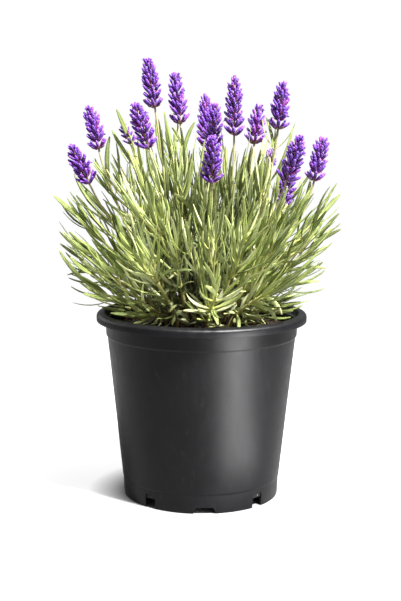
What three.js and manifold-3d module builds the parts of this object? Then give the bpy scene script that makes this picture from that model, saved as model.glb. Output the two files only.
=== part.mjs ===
// Potted lavender: a nursery pot, the peat in it, leafy shoots, and flower stalks with their heads.
// Millimetres, +Z up. The origin is on the pot's axis, in the plane the pot stands on.
import * as THREE from 'three';
import { mergeVertices } from 'three/addons/utils/BufferGeometryUtils.js';
import Module from 'manifold-3d';

const wasm = await Module();
wasm.setup();

// ---------------------------------------------------------------- driving dimensions
const GAP = 0.35; // between parts that touch on the real object

const POT_HEIGHT = 168; // to the top of the rim
const RIM_RADIUS = 95; // outer edge of the turned-out rim
const MOUTH_RADIUS = 87.7; // inner edge of the rim
const LIP_BOTTOM = 160; // lower edge of the rim's outer skirt
const SHOULDER_HEIGHT = 147.4; // foot of the plain band under the rim
const SHOULDER_RADIUS = 86.3;
const WALL_TOP_RADIUS = 85.2; // wall just under the band
const WALL_FOOT_RADIUS = 71.7; // wall just over the base band
const BASE_BAND_HEIGHT = 17;
const BASE_RADIUS = 70.5; // where the pot stands
const WALL = 1.4;
const FLOOR_BOTTOM = 6; // the floor is raised on the base ring
const FLOOR_TOP = 8;
const POT_SEGMENTS = 40;

const NOTCH_START = 3; // degrees from the front of the first low notch
const LOW_NOTCH = { bottom: 20.8, top: 15.3, height: 5.5, inner: 64, turns: [0, 90, 180, 270] };
const TALL_NOTCH = { bottom: 11.5, top: 10.5, height: 12.5, inner: 60, turns: [-42, 42, 138, 222] };

const SOIL_EDGE = 151; // peat level at the wall
const SOIL_CROWN = 156; // peat level at the middle
const SOIL_SEGMENTS = 32;

const ROOT_END = 141; // the stems' lower ends, in their holes
const COLLAR = 159.5; // height at which a stem leaves the upright
const FOOT_CIRCLE = 38; // all stems rise inside this radius
const FOOT_SPACING = 7.2;

// Square stems: half their width at the foot and at the end, and where along them they have a ring.
const SHOOT = { half: 1.5, tipHalf: 1, stops: [0, 0.3, 0.63, 0.94, 1] };
const STALK = { half: 1.15, tipHalf: 0.85, stops: [0, 0.22, 0.48, 0.76, 1] };

const LEAF_WIDTH = 5.2;
const LEAF_THICKNESS = 1.1;
const LEAF_BEND = 0.52; // where along its length a leaf is widest and bends

const WHORL_PITCH = 7.3; // from one ring of florets to the next
const WHORL_FLORETS = 5;
const FLORET_LENGTH = 9.8;
const CORE_RADIUS = 2.4;

// The flower heads: foot of the head, then its tip.
const HEADS = [
  [[-99, -18, 283], [-114, -30, 318]],
  [[-93, 12, 312], [-102, 14, 351]],
  [[-46, -45, 315], [-57, -55, 354]],
  [[-42, -5, 349], [-49, -6, 393]],
  [[-20, 22, 335], [-26, 26, 382]],
  [[4, 55, 313], [2, 68, 364]],
  [[10, 25, 310], [11, 28, 355]],
  [[8, -62, 287], [8, -76, 328]],
  [[28, 0, 325], [28, 0, 379]],
  [[48, 48, 317], [52, 58, 352]],
  [[66, -12, 331], [70, -12, 373]],
  [[63, 72, 294], [65, 80, 309]],
  [[72, -38, 287], [84, -46, 328]],
  [[73, 15, 259], [80, 20, 303]],
  [[100, 5, 285], [108, 6, 325]],
  [[-65, 30, 317], [-72, 34, 332]],
];

// This stalk carries one more pair of leaves, close under its head.
const HIGH_PAIR = { stalk: 10, at: 0.905, length: 28, spread: 32 };

// The leafy shoots: azimuth of the tip from +X, its lean from the upright, its reach from the crown.
const SHOOTS = [
  [178, 47, 178], [190, 54, 155], [172, 61, 147], [183, 68, 131], [203, 75, 106], [166, 40, 165],
  [181, 22, 206], [150, 11, 199], [2, 45, 180], [348, 52, 150], [9, 62, 130], [352, 71, 104],
  [352, 33, 168], [336, 41, 158], [238, 31, 154], [228, 48, 144], [272, 20, 162], [302, 37, 150],
  [20, 19, 186], [278, 62, 132], [318, 60, 126], [62, 31, 182], [110, 23, 190], [88, 57, 139],
  [132, 60, 144], [42, 62, 140],
];

// ---------------------------------------------------------------- solids
function toSolid(geometry) {
  const bare = geometry.clone();
  for (const name of Object.keys(bare.attributes)) {
    if (name !== 'position') bare.deleteAttribute(name);
  }
  const merged = mergeVertices(bare, 1e-4);
  return new wasm.Manifold(new wasm.Mesh({
    numProp: 3,
    vertProperties: new Float32Array(merged.attributes.position.array),
    triVerts: new Uint32Array(merged.index.array),
  }));
}

function toGeometry(solid) {
  const mesh = solid.getMesh();
  const geometry = new THREE.BufferGeometry();
  geometry.setAttribute('position', new THREE.BufferAttribute(mesh.vertProperties, 3));
  geometry.setIndex(new THREE.BufferAttribute(mesh.triVerts, 1));
  return geometry;
}

// The largest body of a solid, without any loose scrap a join or cut leaves.
function mainBody(solid) {
  const bodies = solid.decompose();
  bodies.sort((a, b) => b.volume() - a.volume());
  return bodies[0];
}

// A round or faceted bar along a path. place(stop, corner) gives each corner of each ring;
// corner is -1 on the bar's own axis. A pointed bar closes in one point at its last stop.
function bar(sides, stops, place, pointed) {
  const rows = stops.length - 1;
  const shape = pointed
    ? new THREE.ConeGeometry(1, 1, sides, rows)
    : new THREE.CylinderGeometry(1, 1, 1, sides, rows);
  const points = shape.attributes.position;
  const corner = new THREE.Vector3();
  for (let i = 0; i < points.count; i += 1) {
    corner.fromBufferAttribute(points, i);
    const row = Math.round((corner.y + 0.5) * rows);
    const onAxis = Math.hypot(corner.x, corner.z) < 1e-6;
    const turn = Math.atan2(corner.x, corner.z) / (2 * Math.PI);
    const index = onAxis ? -1 : (Math.round(turn * sides) + sides) % sides;
    const spot = place(stops[row], index);
    points.setXYZ(i, spot.x, spot.y, spot.z);
  }
  return toSolid(shape);
}

// ---------------------------------------------------------------- seeded draws
function makeRandom(seed) {
  let state = seed;
  return () => {
    state = (Math.imul(state, 1664525) + 1013904223) >>> 0;
    return state / 4294967296;
  };
}

const radians = (degrees) => (degrees * Math.PI) / 180;
const vector = (x, y, z) => new THREE.Vector3(x, y, z);

// ---------------------------------------------------------------- pot
function wallRadius(z) {
  const slope = (WALL_TOP_RADIUS - WALL_FOOT_RADIUS) / (146 - 17.6);
  return WALL_FOOT_RADIUS + slope * (z - 17.6);
}

function potProfile() {
  const innerFoot = WALL_FOOT_RADIUS - WALL - 0.4;
  return [
    [0, FLOOR_BOTTOM],
    [BASE_RADIUS - WALL, FLOOR_BOTTOM],
    [BASE_RADIUS - WALL, 0],
    [BASE_RADIUS, 0],
    [BASE_RADIUS + 0.7, BASE_BAND_HEIGHT - 0.6],
    [WALL_FOOT_RADIUS, BASE_BAND_HEIGHT + 0.6],
    [WALL_TOP_RADIUS, 146],
    [SHOULDER_RADIUS, SHOULDER_HEIGHT],
    [SHOULDER_RADIUS + 0.9, LIP_BOTTOM + 4],
    [RIM_RADIUS - 1.7, LIP_BOTTOM + 4],
    [RIM_RADIUS - 1.5, LIP_BOTTOM],
    [RIM_RADIUS, LIP_BOTTOM],
    [RIM_RADIUS, 165.4],
    [RIM_RADIUS - 0.8, 166.4],
    [MOUTH_RADIUS + 0.9, POT_HEIGHT],
    [MOUTH_RADIUS, POT_HEIGHT - 0.7],
    [MOUTH_RADIUS - 0.7, 161],
    [MOUTH_RADIUS - 2.1, 160],
    [SHOULDER_RADIUS - WALL, SHOULDER_HEIGHT],
    [WALL_TOP_RADIUS - WALL, 145.6],
    [innerFoot, FLOOR_TOP],
    [0, FLOOR_TOP],
  ];
}

function lathe(profile, segments) {
  const points = profile.map(([radius, height]) => new THREE.Vector2(radius, height));
  return new THREE.LatheGeometry(points, segments).rotateX(Math.PI / 2);
}

function notch({ bottom, top, height, inner }, turn) {
  const outline = new THREE.Shape([
    new THREE.Vector2(-bottom / 2 - (bottom - top) / (2 * height), -1),
    new THREE.Vector2(bottom / 2 + (bottom - top) / (2 * height), -1),
    new THREE.Vector2(top / 2, height),
    new THREE.Vector2(-top / 2, height),
  ]);
  const block = new THREE.ExtrudeGeometry(outline, { depth: 77 - inner, bevelEnabled: false });
  const angle = radians(NOTCH_START + turn - 90);
  const outward = vector(Math.cos(angle), Math.sin(angle), 0);
  const across = vector(-Math.sin(angle), Math.cos(angle), 0);
  const seat = new THREE.Matrix4().makeBasis(across, vector(0, 0, 1), outward);
  seat.setPosition(outward.clone().multiplyScalar(inner));
  return toSolid(block.applyMatrix4(seat));
}

function buildPot() {
  let pot = toSolid(lathe(potProfile(), POT_SEGMENTS));
  for (const kind of [LOW_NOTCH, TALL_NOTCH]) {
    for (const turn of kind.turns) pot = pot.subtract(notch(kind, turn));
  }
  return mainBody(pot.simplify(0.01));
}

// ---------------------------------------------------------------- growing places
// Everything that takes up room, as balls strung along stems, leaves and heads.
const balls = [];

function hits(points, owner, fromLeaf) {
  for (const ball of balls) {
    const own = ball.owner === owner;
    if (own && !(fromLeaf && ball.free)) continue;
    for (const point of points) {
      if (own && !point.free) continue;
      const room = own ? 1.7 : point.r + ball.r;
      const dx = point.x - ball.x;
      const dy = point.y - ball.y;
      const dz = point.z - ball.z;
      if (dx * dx + dy * dy + dz * dz < room * room) return true;
    }
  }
  return false;
}

function keep(points, owner) {
  for (const point of points) balls.push({ ...point, owner });
}

// Feet stand apart from each other: the wanted place, or the nearest free one on a widening spiral.
const feet = [];

function placeFoot(x, y) {
  const pull = Math.min(1, FOOT_CIRCLE / Math.hypot(x, y));
  for (let i = 0; i < 400; i += 1) {
    const fx = x * pull + 0.7 * Math.sqrt(i) * Math.cos(i * 2.4);
    const fy = y * pull + 0.7 * Math.sqrt(i) * Math.sin(i * 2.4);
    if (Math.hypot(fx, fy) > FOOT_CIRCLE + 2) continue;
    if (feet.every(([ox, oy]) => Math.hypot(ox - fx, oy - fy) >= FOOT_SPACING)) {
      feet.push([fx, fy]);
      return [fx, fy];
    }
  }
  throw new Error('no room for another stem');
}

// A stem: upright in its hole, then one bend from the collar to its end.
function stemPath(foot, end, endDirection, rise, sway) {
  const start = vector(foot[0], foot[1], COLLAR);
  const span = start.distanceTo(end);
  const first = start.clone().addScaledVector(rise, 0.34 * span).add(sway);
  const second = end.clone().addScaledVector(endDirection, -0.36 * span).addScaledVector(sway, 0.6);
  return new THREE.CubicBezierCurve3(start, first, second, end);
}

function tangent(curve, t) {
  const before = curve.getPoint(Math.max(t - 0.001, 0));
  const after = curve.getPoint(Math.min(t + 0.001, 1));
  return after.sub(before).normalize();
}

// The two directions across a stem: side is square to the plane in which it leans.
function across(direction, azimuth) {
  const level = vector(-Math.sin(azimuth), Math.cos(azimuth), 0);
  const side = level.addScaledVector(direction, -level.dot(direction)).normalize();
  return { side, out: side.clone().cross(direction) };
}

// A point of the stem itself, which is straight from each of its rings to the next.
function stemPoint(curve, stops, t) {
  let i = 1;
  while (stops[i] < t) i += 1;
  const share = (t - stops[i - 1]) / (stops[i] - stops[i - 1]);
  return curve.getPoint(stops[i - 1]).lerp(curve.getPoint(stops[i]), share);
}

function stemBalls(foot, curve, stops, half, tipHalf) {
  const points = [];
  for (let z = ROOT_END; z < COLLAR; z += 2) {
    points.push({ x: foot[0], y: foot[1], z, r: 1.3 * half + 0.3 });
  }
  const count = Math.ceil(curve.v0.distanceTo(curve.v3) / 2);
  for (let i = 0; i <= count; i += 1) {
    const t = i / count;
    const { x, y, z } = stemPoint(curve, stops, t);
    points.push({ x, y, z, r: 1.3 * (half + (tipHalf - half) * t) + 0.3 });
  }
  return points;
}

// Tries the straight run first, then ones that sway a little, until the stem is clear of the rest.
function growStem(owner, aim, end, endDirection, lean, kind, random) {
  const { stops, half, tipHalf } = kind;
  const foot = placeFoot(aim.x, aim.y);
  const azimuth = Math.atan2(end.y - foot[1], end.x - foot[0]);
  const rise = vector(
    Math.sin(lean) * Math.cos(azimuth),
    Math.sin(lean) * Math.sin(azimuth),
    Math.cos(lean),
  );
  for (let i = 0; i < 60; i += 1) {
    const reach = 0.5 * i;
    const swayX = reach * (random() - 0.5) * 2;
    const swayY = reach * (random() - 0.5) * 2;
    const curve = stemPath(foot, end, endDirection, rise, vector(swayX, swayY, 0));
    const points = stemBalls(foot, curve, stops, half, tipHalf);
    if (!hits(points, owner, false)) {
      keep(points, owner);
      return { owner, foot, curve, azimuth, stops, half, tipHalf, leaves: [] };
    }
  }
  throw new Error(`no clear way for ${owner}`);
}

// ---------------------------------------------------------------- leaves
// A leaf runs straight out to its widest place and bends in towards the stem from there.
function leafPath(stem, plan, roll, spread, length) {
  const root = stemPoint(stem.curve, stem.stops, plan.at);
  const along = tangent(stem.curve, plan.at);
  const { side, out } = across(along, stem.azimuth);
  const away = out.multiplyScalar(Math.cos(roll)).addScaledVector(side, Math.sin(roll));
  const flat = along.clone().cross(away);
  const early = spread + radians(11);
  const late = spread - radians(9);
  const middle = root.clone()
    .addScaledVector(along, LEAF_BEND * length * Math.cos(early))
    .addScaledVector(away, LEAF_BEND * length * Math.sin(early));
  const tip = middle.clone()
    .addScaledVector(along, (1 - LEAF_BEND) * length * Math.cos(late))
    .addScaledVector(away, (1 - LEAF_BEND) * length * Math.sin(late))
    .add(vector(0, 0, 0.05 * length));
  return { root, middle, tip, flat, length };
}

function leafPoint(leaf, t) {
  if (t < LEAF_BEND) return leaf.root.clone().lerp(leaf.middle, t / LEAF_BEND);
  return leaf.middle.clone().lerp(leaf.tip, (t - LEAF_BEND) / (1 - LEAF_BEND));
}

function leafHalfWidth(t) {
  return (LEAF_WIDTH / 2) * Math.min(0.35 + 1.5 * t, 1, 2 * (1 - t));
}

function leafBalls(leaf) {
  const points = [];
  const count = Math.ceil(leaf.length / 2);
  for (let i = 1; i <= count; i += 1) {
    const t = i / count;
    const { x, y, z } = leafPoint(leaf, t);
    points.push({ x, y, z, r: leafHalfWidth(t) + 0.4, free: t > 0.4 });
  }
  return points;
}

// Leaves stay off the peat, the pot's wall and its rim.
function inPot({ x, y, z }) {
  const radius = Math.hypot(x, y);
  if (radius < 82) return z < SOIL_CROWN + 4.5;
  return radius < RIM_RADIUS + 3 && z < POT_HEIGHT + 3;
}

function growLeaf(stem, plan, random) {
  for (let i = 0; i < 12; i += 1) {
    const loose = 6 + 4 * i;
    const roll = plan.roll + radians((random() - 0.5) * 2 * loose);
    const spread = Math.max(radians(5), plan.spread + radians((random() - 0.5) * loose));
    const length = plan.length * (1 - 0.02 * i) * (0.94 + 0.12 * random());
    const leaf = leafPath(stem, plan, roll, spread, length);
    const points = leafBalls(leaf);
    if (points.some(inPot)) continue;
    if (hits(points, stem.owner, true)) continue;
    keep(points, stem.owner);
    stem.leaves.push(leaf);
    return;
  }
}

// Pairs of leaves, each pair square to the one below, shorter and closer in towards the tip.
function leafPlans(places, length, spread, turn) {
  const plans = [];
  places.forEach((at, index) => {
    for (const half of [0, 1]) {
      plans.push({
        at,
        roll: turn + Math.PI * half + (Math.PI / 2) * index,
        spread: spread * (1 - 0.55 * at),
        length: length * (1.08 - 0.28 * at),
      });
    }
  });
  return plans;
}

// Three-sided: a flat face towards the stem, and a keel under the midrib.
function buildLeaf(leaf) {
  const along = leaf.middle.clone().sub(leaf.root).normalize();
  const under = leaf.flat.clone().cross(along);
  return bar(3, [0, LEAF_BEND, 1], (t, corner) => {
    const spot = leafPoint(leaf, t);
    if (corner < 0 || t === 1) return spot;
    const scale = t === 0 ? 0.28 : 1;
    const depth = 0.6 * LEAF_THICKNESS * (t === 0 ? 0.6 : 1);
    if (corner === 0) return spot.addScaledVector(under, depth);
    const half = (scale * LEAF_WIDTH) / 2;
    const rise = -0.4 * LEAF_THICKNESS * (t === 0 ? 0.6 : 1);
    return spot.addScaledVector(leaf.flat, corner === 1 ? half : -half).addScaledVector(under, rise);
  }, true);
}

function buildStem(stem, pointed) {
  let body = bar(4, [-1, ...stem.stops], (t, corner) => {
    const spot = t < 0 ? vector(stem.foot[0], stem.foot[1], ROOT_END) : stem.curve.getPoint(t);
    if (corner < 0 || (pointed && t === 1)) return spot;
    const along = t <= 0 ? vector(0, 0, 1) : tangent(stem.curve, t);
    const { side, out } = across(along, stem.azimuth);
    const half = stem.half + (stem.tipHalf - stem.half) * Math.max(t, 0);
    const reach = half * Math.SQRT2;
    const turn = (Math.PI / 2) * corner + Math.PI / 4;
    return spot.addScaledVector(out, reach * Math.cos(turn)).addScaledVector(side, reach * Math.sin(turn));
  }, pointed);
  if (body.volume() < 0) throw new Error('a stem is inside out');
  for (const leaf of stem.leaves) body = body.add(buildLeaf(leaf));
  return mainBody(body.simplify(0.01));
}

// ---------------------------------------------------------------- flower heads
function headFrame(head) {
  const foot = vector(...head[0]);
  const tip = vector(...head[1]);
  const along = tip.clone().sub(foot);
  const length = along.length();
  along.normalize();
  const side = vector(0, 1, 0).cross(along).normalize();
  return { foot, tip, along, length, side, out: side.clone().cross(along) };
}

function headBalls(frame) {
  const points = [];
  for (let s = -1; s < frame.length; s += 3) {
    const { x, y, z } = frame.foot.clone().addScaledVector(frame.along, s);
    points.push({ x, y, z, r: 9.6 - 3 * Math.max(0, s / frame.length) });
  }
  return points;
}

// One head is a slim core whose surface is raised into whorls of pointed florets. Round the core
// run two columns to a floret, one on it and one in the gap beside it, and each whorl is turned
// by half a floret from the one below.
function headRows(frame) {
  const count = Math.max(2, Math.round((frame.length - 5) / WHORL_PITCH));
  const young = frame.length < 25 ? 0.72 : 1; // a head still in bud is slimmer
  const rows = [
    { floret: [1.3, 0], gap: [1.3, 0], shift: 0 },
    { floret: [1.3, 0.8], gap: [1.3, 0.8], shift: 0 },
  ];
  for (let i = 0; i < count; i += 1) {
    const share = i / (count - 1);
    // The lowest whorl stands a little apart and opens widest.
    const at = i === 0 ? 0.8 : 2.4 + (i * (frame.length - 10.5)) / (count - 1);
    const size = young * Math.min(1, 0.84 + 0.6 * share, 1.3 - 0.62 * share);
    const open = radians(i === 0 ? 54 : 48 - 16 * share);
    const out = FLORET_LENGTH * size * Math.sin(open);
    const up = FLORET_LENGTH * size * Math.cos(open);
    const core = CORE_RADIUS * young * (1.08 - 0.4 * share);
    // Below the close-set top, the surface goes back to the core between one whorl and the next.
    if (i > 0 && i < count - 2) rows.push({ floret: [core, at - 0.2], gap: [core * 0.95, at], shift: i });
    rows.push({ floret: [core + 0.6 * out, at + 0.36 * up], gap: [core, at + 0.3 * up], shift: i });
    rows.push({ floret: [core * 0.4 + out, at + up], gap: [core * 0.9, at + 0.62 * up], shift: i });
  }
  rows.push({ floret: [0, frame.length], gap: [0, frame.length], shift: 0 });
  return rows;
}

function buildHead(head) {
  const frame = headFrame(head);
  const rows = headRows(frame);
  const columns = 2 * WHORL_FLORETS;
  const body = bar(columns, rows, (row, corner) => {
    const onFloret = (corner + row.shift) % 2 === 0;
    const [radius, height] = onFloret ? row.floret : row.gap;
    const spot = frame.foot.clone().addScaledVector(frame.along, height);
    if (corner < 0) return spot;
    const turn = (2 * Math.PI * corner) / columns;
    return spot
      .addScaledVector(frame.out, radius * Math.cos(turn))
      .addScaledVector(frame.side, radius * Math.sin(turn));
  }, true);
  return body;
}

// ---------------------------------------------------------------- the plant grows
const random = makeRandom(20417);
const pad = (number) => String(number).padStart(2, '0');

HEADS.forEach((head, index) => {
  keep(headBalls(headFrame(head)), `head ${index}`);
});

const stalks = HEADS.map((head, index) => {
  const frame = headFrame(head);
  const end = frame.foot.clone().addScaledVector(frame.along, -GAP);
  const aim = vector(0.27 * end.x, 0.27 * end.y, 0);
  const lean = radians(10 + 0.12 * Math.hypot(end.x, end.y));
  return growStem(`head ${index}`, aim, end, frame.along, lean, STALK, random);
});

const shoots = SHOOTS.map(([azimuthDegrees, leanDegrees, reach], index) => {
  const azimuth = radians(azimuthDegrees);
  const lean = radians(leanDegrees);
  const endLean = lean * 0.95;
  const heading = vector(
    Math.sin(endLean) * Math.cos(azimuth),
    Math.sin(endLean) * Math.sin(azimuth),
    Math.cos(endLean),
  );
  const tip = vector(
    reach * Math.sin(lean) * Math.cos(azimuth),
    reach * Math.sin(lean) * Math.sin(azimuth),
    150 + reach * Math.cos(lean),
  );
  const end = tip.clone().addScaledVector(heading, -30);
  const aim = vector(0.3 * tip.x, 0.3 * tip.y, 0);
  const shoot = growStem(`shoot ${index}`, aim, end, heading, 0.42 * lean, SHOOT, random);
  return { ...shoot, tall: leanDegrees < 46 };
});

for (const turn of [0, Math.PI]) {
  const { stalk, at, length, spread } = HIGH_PAIR;
  growLeaf(stalks[stalk], { at, roll: turn, spread: radians(spread), length }, random);
}
for (const stem of shoots) {
  for (const plan of leafPlans([0.88], 40, radians(20), 0)) growLeaf(stem, plan, random);
}
for (const stem of shoots) {
  const pairs = stem.tall ? [0.2, 0.34, 0.48, 0.61, 0.75] : [0.28, 0.45, 0.6, 0.74];
  const turn = radians(90) * Math.floor(random() * 2);
  for (const plan of leafPlans(pairs, 46, radians(44), turn)) growLeaf(stem, plan, random);
}
for (const stem of stalks) {
  const turn = radians(90) * Math.floor(random() * 2);
  for (const plan of leafPlans([0.18, 0.35, 0.52], 47, radians(34), turn)) growLeaf(stem, plan, random);
}

// ---------------------------------------------------------------- peat
function soilBump(x, y) {
  return 0.8 * Math.sin(0.16 * x + 1.3) * Math.cos(0.13 * y + 0.4) + 0.5 * Math.sin(0.31 * y - 0.22 * x);
}

function buildSoil() {
  const side = GAP + 0.15;
  const innerFoot = WALL_FOOT_RADIUS - WALL - 0.4;
  const profile = [
    [0, FLOOR_TOP + GAP],
    [innerFoot - side, FLOOR_TOP + GAP],
    [WALL_TOP_RADIUS - WALL - side, 145.6],
    [SHOULDER_RADIUS - WALL - side, SOIL_EDGE],
    [60, SOIL_EDGE + 3],
    [0, SOIL_CROWN],
  ];
  const shape = lathe(profile, SOIL_SEGMENTS);
  const points = shape.attributes.position;
  for (let i = 0; i < points.count; i += 1) {
    if (points.getZ(i) > SOIL_EDGE - 1) {
      points.setZ(i, points.getZ(i) + soilBump(points.getX(i), points.getY(i)));
    }
  }
  let soil = toSolid(shape);
  for (const stem of [...stalks, ...shoots]) {
    const width = 2 * (stem.half + GAP);
    const depth = SOIL_CROWN + 8 - (ROOT_END - GAP);
    const hole = new THREE.BoxGeometry(width, width, depth);
    hole.rotateZ(stem.azimuth);
    hole.translate(stem.foot[0], stem.foot[1], ROOT_END - GAP + depth / 2);
    soil = soil.subtract(toSolid(hole));
  }
  return mainBody(soil.simplify(0.01));
}

// ---------------------------------------------------------------- materials and assembly
const LOOKS = {
  plastic: { color: 0x2e3033, roughness: 0.55, metalness: 0 },
  peat: { color: 0x3a2b22, roughness: 0.97, metalness: 0 },
  leaf: { color: 0x8c9c72, roughness: 0.8, metalness: 0 },
  stalk: { color: 0x93a070, roughness: 0.75, metalness: 0 },
  petal: { color: 0x6a45ad, roughness: 0.8, metalness: 0 },
};

const plant = new THREE.Group();

function addPart(name, solid, look) {
  const mesh = new THREE.Mesh(toGeometry(solid), new THREE.MeshStandardMaterial(LOOKS[look]));
  mesh.name = name;
  plant.add(mesh);
}

addPart('pot', buildPot(), 'plastic');
addPart('soil', buildSoil(), 'peat');
stalks.forEach((stem, index) => addPart(`flower_stem_${pad(index + 1)}`, buildStem(stem, false), 'stalk'));
HEADS.forEach((head, index) => addPart(`flower_head_${pad(index + 1)}`, buildHead(head), 'petal'));
shoots.forEach((stem, index) => addPart(`leafy_shoot_${pad(index + 1)}`, buildStem(stem, true), 'leaf'));

export default plant;
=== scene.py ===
"""Potted lavender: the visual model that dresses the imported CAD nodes.

Everything is laid out in millimetres, in the CAD's own frame, and written to meshes in metres.
"""
import math

import bpy
import numpy as np
from mathutils import Matrix, Vector, noise


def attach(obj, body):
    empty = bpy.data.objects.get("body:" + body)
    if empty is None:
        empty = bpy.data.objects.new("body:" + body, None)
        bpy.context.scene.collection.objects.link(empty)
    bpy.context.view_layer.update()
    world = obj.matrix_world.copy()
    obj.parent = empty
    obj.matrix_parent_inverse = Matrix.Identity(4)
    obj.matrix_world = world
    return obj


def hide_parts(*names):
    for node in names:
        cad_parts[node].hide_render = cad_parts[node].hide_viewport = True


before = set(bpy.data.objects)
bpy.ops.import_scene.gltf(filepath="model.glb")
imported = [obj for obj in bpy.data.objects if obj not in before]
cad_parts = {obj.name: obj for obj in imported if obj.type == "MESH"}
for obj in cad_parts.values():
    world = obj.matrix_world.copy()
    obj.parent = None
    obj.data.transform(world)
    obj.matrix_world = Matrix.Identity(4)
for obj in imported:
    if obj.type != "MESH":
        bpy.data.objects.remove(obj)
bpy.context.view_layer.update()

MM = 0.001
scene = bpy.context.scene
scene.view_settings.view_transform = "Standard"


def place(name, data):
    """A new object in the scene."""
    thing = bpy.data.objects.new(name, data)
    scene.collection.objects.link(thing)
    return thing


# ---- camera
CAMERA_SPOT = (-1.05, -1092.4, 348.6)
CAMERA_DOWN = math.radians(8.92)
CAMERA_ROLL = math.radians(0.30)
CAMERA_LENS = 73.19
SENSOR_WIDTH = 36


def make_camera():
    data = bpy.data.cameras.new("camera")
    data.sensor_width, data.lens = SENSOR_WIDTH, CAMERA_LENS
    camera = place("camera", data)
    ahead = Vector((0, math.cos(CAMERA_DOWN), -math.sin(CAMERA_DOWN)))
    up = Vector((0, math.sin(CAMERA_DOWN), math.cos(CAMERA_DOWN)))
    right = Vector((1, 0, 0))
    cos_roll, sin_roll = math.cos(CAMERA_ROLL), math.sin(CAMERA_ROLL)
    turn = Matrix((right * cos_roll + up * sin_roll, up * cos_roll - right * sin_roll, -ahead))
    camera.matrix_world = Matrix.Translation(Vector(CAMERA_SPOT) * MM) @ turn.transposed().to_4x4()
    scene.camera = camera


make_camera()

# ---- the CAD's own measures
GAP = 0.35
POT_HEIGHT = 168
RIM_RADIUS = 95
RIM_EDGE_HEIGHT = 166.3
RIM_ROUNDING = 2.4
MOUTH_RADIUS = 87.7
LIP_BOTTOM = 160
SHOULDER_HEIGHT = 147.4
SHOULDER_RADIUS = 86.3
INNER_SHOULDER = 145.6
WALL_TOP_RADIUS = 85.2
WALL_FOOT_RADIUS = 71.7
BASE_BAND_HEIGHT = 17
BASE_RADIUS = 70.5
WALL = 1.4
FLOOR_BOTTOM = 6
FLOOR_TOP = 8
NOTCH_START = 3
LOW_NOTCH = {"bottom": 20.8, "top": 15.3, "height": 5.5, "inner": 64, "turns": [0, 90, 180, 270]}
TALL_NOTCH = {"bottom": 11.5, "top": 10.5, "height": 12.5, "inner": 60, "turns": [-42, 42, 138, 222]}
SOIL_EDGE = 151
SOIL_CROWN = 156
BUSH_BASE = 150
ROOT_END = 141
COLLAR = 159.5
FOOT_CIRCLE = 38
FOOT_SPACING = 7.2
SHOOT = {"half": 1.5, "tip_half": 1.0, "stops": [0, 0.3, 0.63, 0.94, 1]}
STALK = {"half": 1.15, "tip_half": 0.85, "stops": [0, 0.22, 0.48, 0.76, 1]}
LEAF_WIDTH = 5.2
LEAF_BEND = 0.52
CORE_RADIUS = 2.4
CAD_SEED = 20417
HEADS = [
    [(-99, -18, 283), (-114, -30, 318)],
    [(-93, 12, 312), (-102, 14, 351)],
    [(-46, -45, 315), (-57, -55, 354)],
    [(-42, -5, 349), (-49, -6, 393)],
    [(-20, 22, 335), (-26, 26, 382)],
    [(4, 55, 313), (2, 68, 364)],
    [(10, 25, 310), (11, 28, 355)],
    [(8, -62, 287), (8, -76, 328)],
    [(28, 0, 325), (28, 0, 379)],
    [(48, 48, 317), (52, 58, 352)],
    [(66, -12, 331), (70, -12, 373)],
    [(63, 72, 294), (65, 80, 309)],
    [(72, -38, 287), (84, -46, 328)],
    [(73, 15, 259), (80, 20, 303)],
    [(100, 5, 285), (108, 6, 325)],
    [(-65, 30, 317), (-72, 34, 332)],
]
HIGH_PAIR = {"stalk": 10, "at": 0.905, "length": 28, "spread": 32}
SHOOTS = [
    (178, 47, 178), (190, 54, 155), (172, 61, 147), (183, 68, 131), (203, 75, 106), (166, 40, 165),
    (181, 22, 206), (150, 11, 199), (2, 45, 180), (348, 52, 150), (9, 62, 130), (352, 71, 104),
    (352, 33, 168), (336, 41, 158), (238, 31, 154), (228, 48, 144), (272, 20, 162), (302, 37, 150),
    (20, 19, 186), (278, 62, 132), (318, 60, 126), (62, 31, 182), (110, 23, 190), (88, 57, 139),
    (132, 60, 144), (42, 62, 140),
]


# ---- vectors and seeded draws
def vec(x, y, z):
    return np.array((x, y, z), dtype=np.float64)


UP = vec(0, 0, 1)


def unit(v):
    return v / math.sqrt(v[0] * v[0] + v[1] * v[1] + v[2] * v[2])


def cross(a, b):
    return vec(a[1] * b[2] - a[2] * b[1], a[2] * b[0] - a[0] * b[2], a[0] * b[1] - a[1] * b[0])


def compass(azimuth):
    """The level direction at an azimuth."""
    return vec(math.cos(azimuth), math.sin(azimuth), 0)


def swing(start, towards, angle):
    """The direction at an angle from one direction towards another that is square to it."""
    return start * math.cos(angle) + towards * math.sin(angle)


def make_random(seed):
    """The CAD's own random draws."""
    state = seed

    def draw():
        nonlocal state
        state = (state * 1664525 + 1013904223) & 0xFFFFFFFF
        return state / 4294967296

    return draw


def bezier(curve, t):
    s = 1 - t
    return s * s * s * curve[0] + 3 * s * s * t * curve[1] + 3 * s * t * t * curve[2] + t * t * t * curve[3]


def tangent(curve, t):
    return unit(bezier(curve, min(t + 0.001, 1)) - bezier(curve, max(t - 0.001, 0)))


def across(direction, azimuth):
    """Two directions square to a stem's: sideways, and out from the plant's middle."""
    level = vec(-math.sin(azimuth), math.cos(azimuth), 0)
    side = unit(level - level.dot(direction) * direction)
    return side, cross(side, direction)


def pair_turns(places, turn):
    """The places and turns of pairs of leaves, each pair square to the one below."""
    for index, at in enumerate(places):
        for half in (0, 1):
            yield at, turn + math.pi * half + math.pi / 2 * index


# ---- the CAD plant, grown again
OWN_GAP = 1.7


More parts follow.
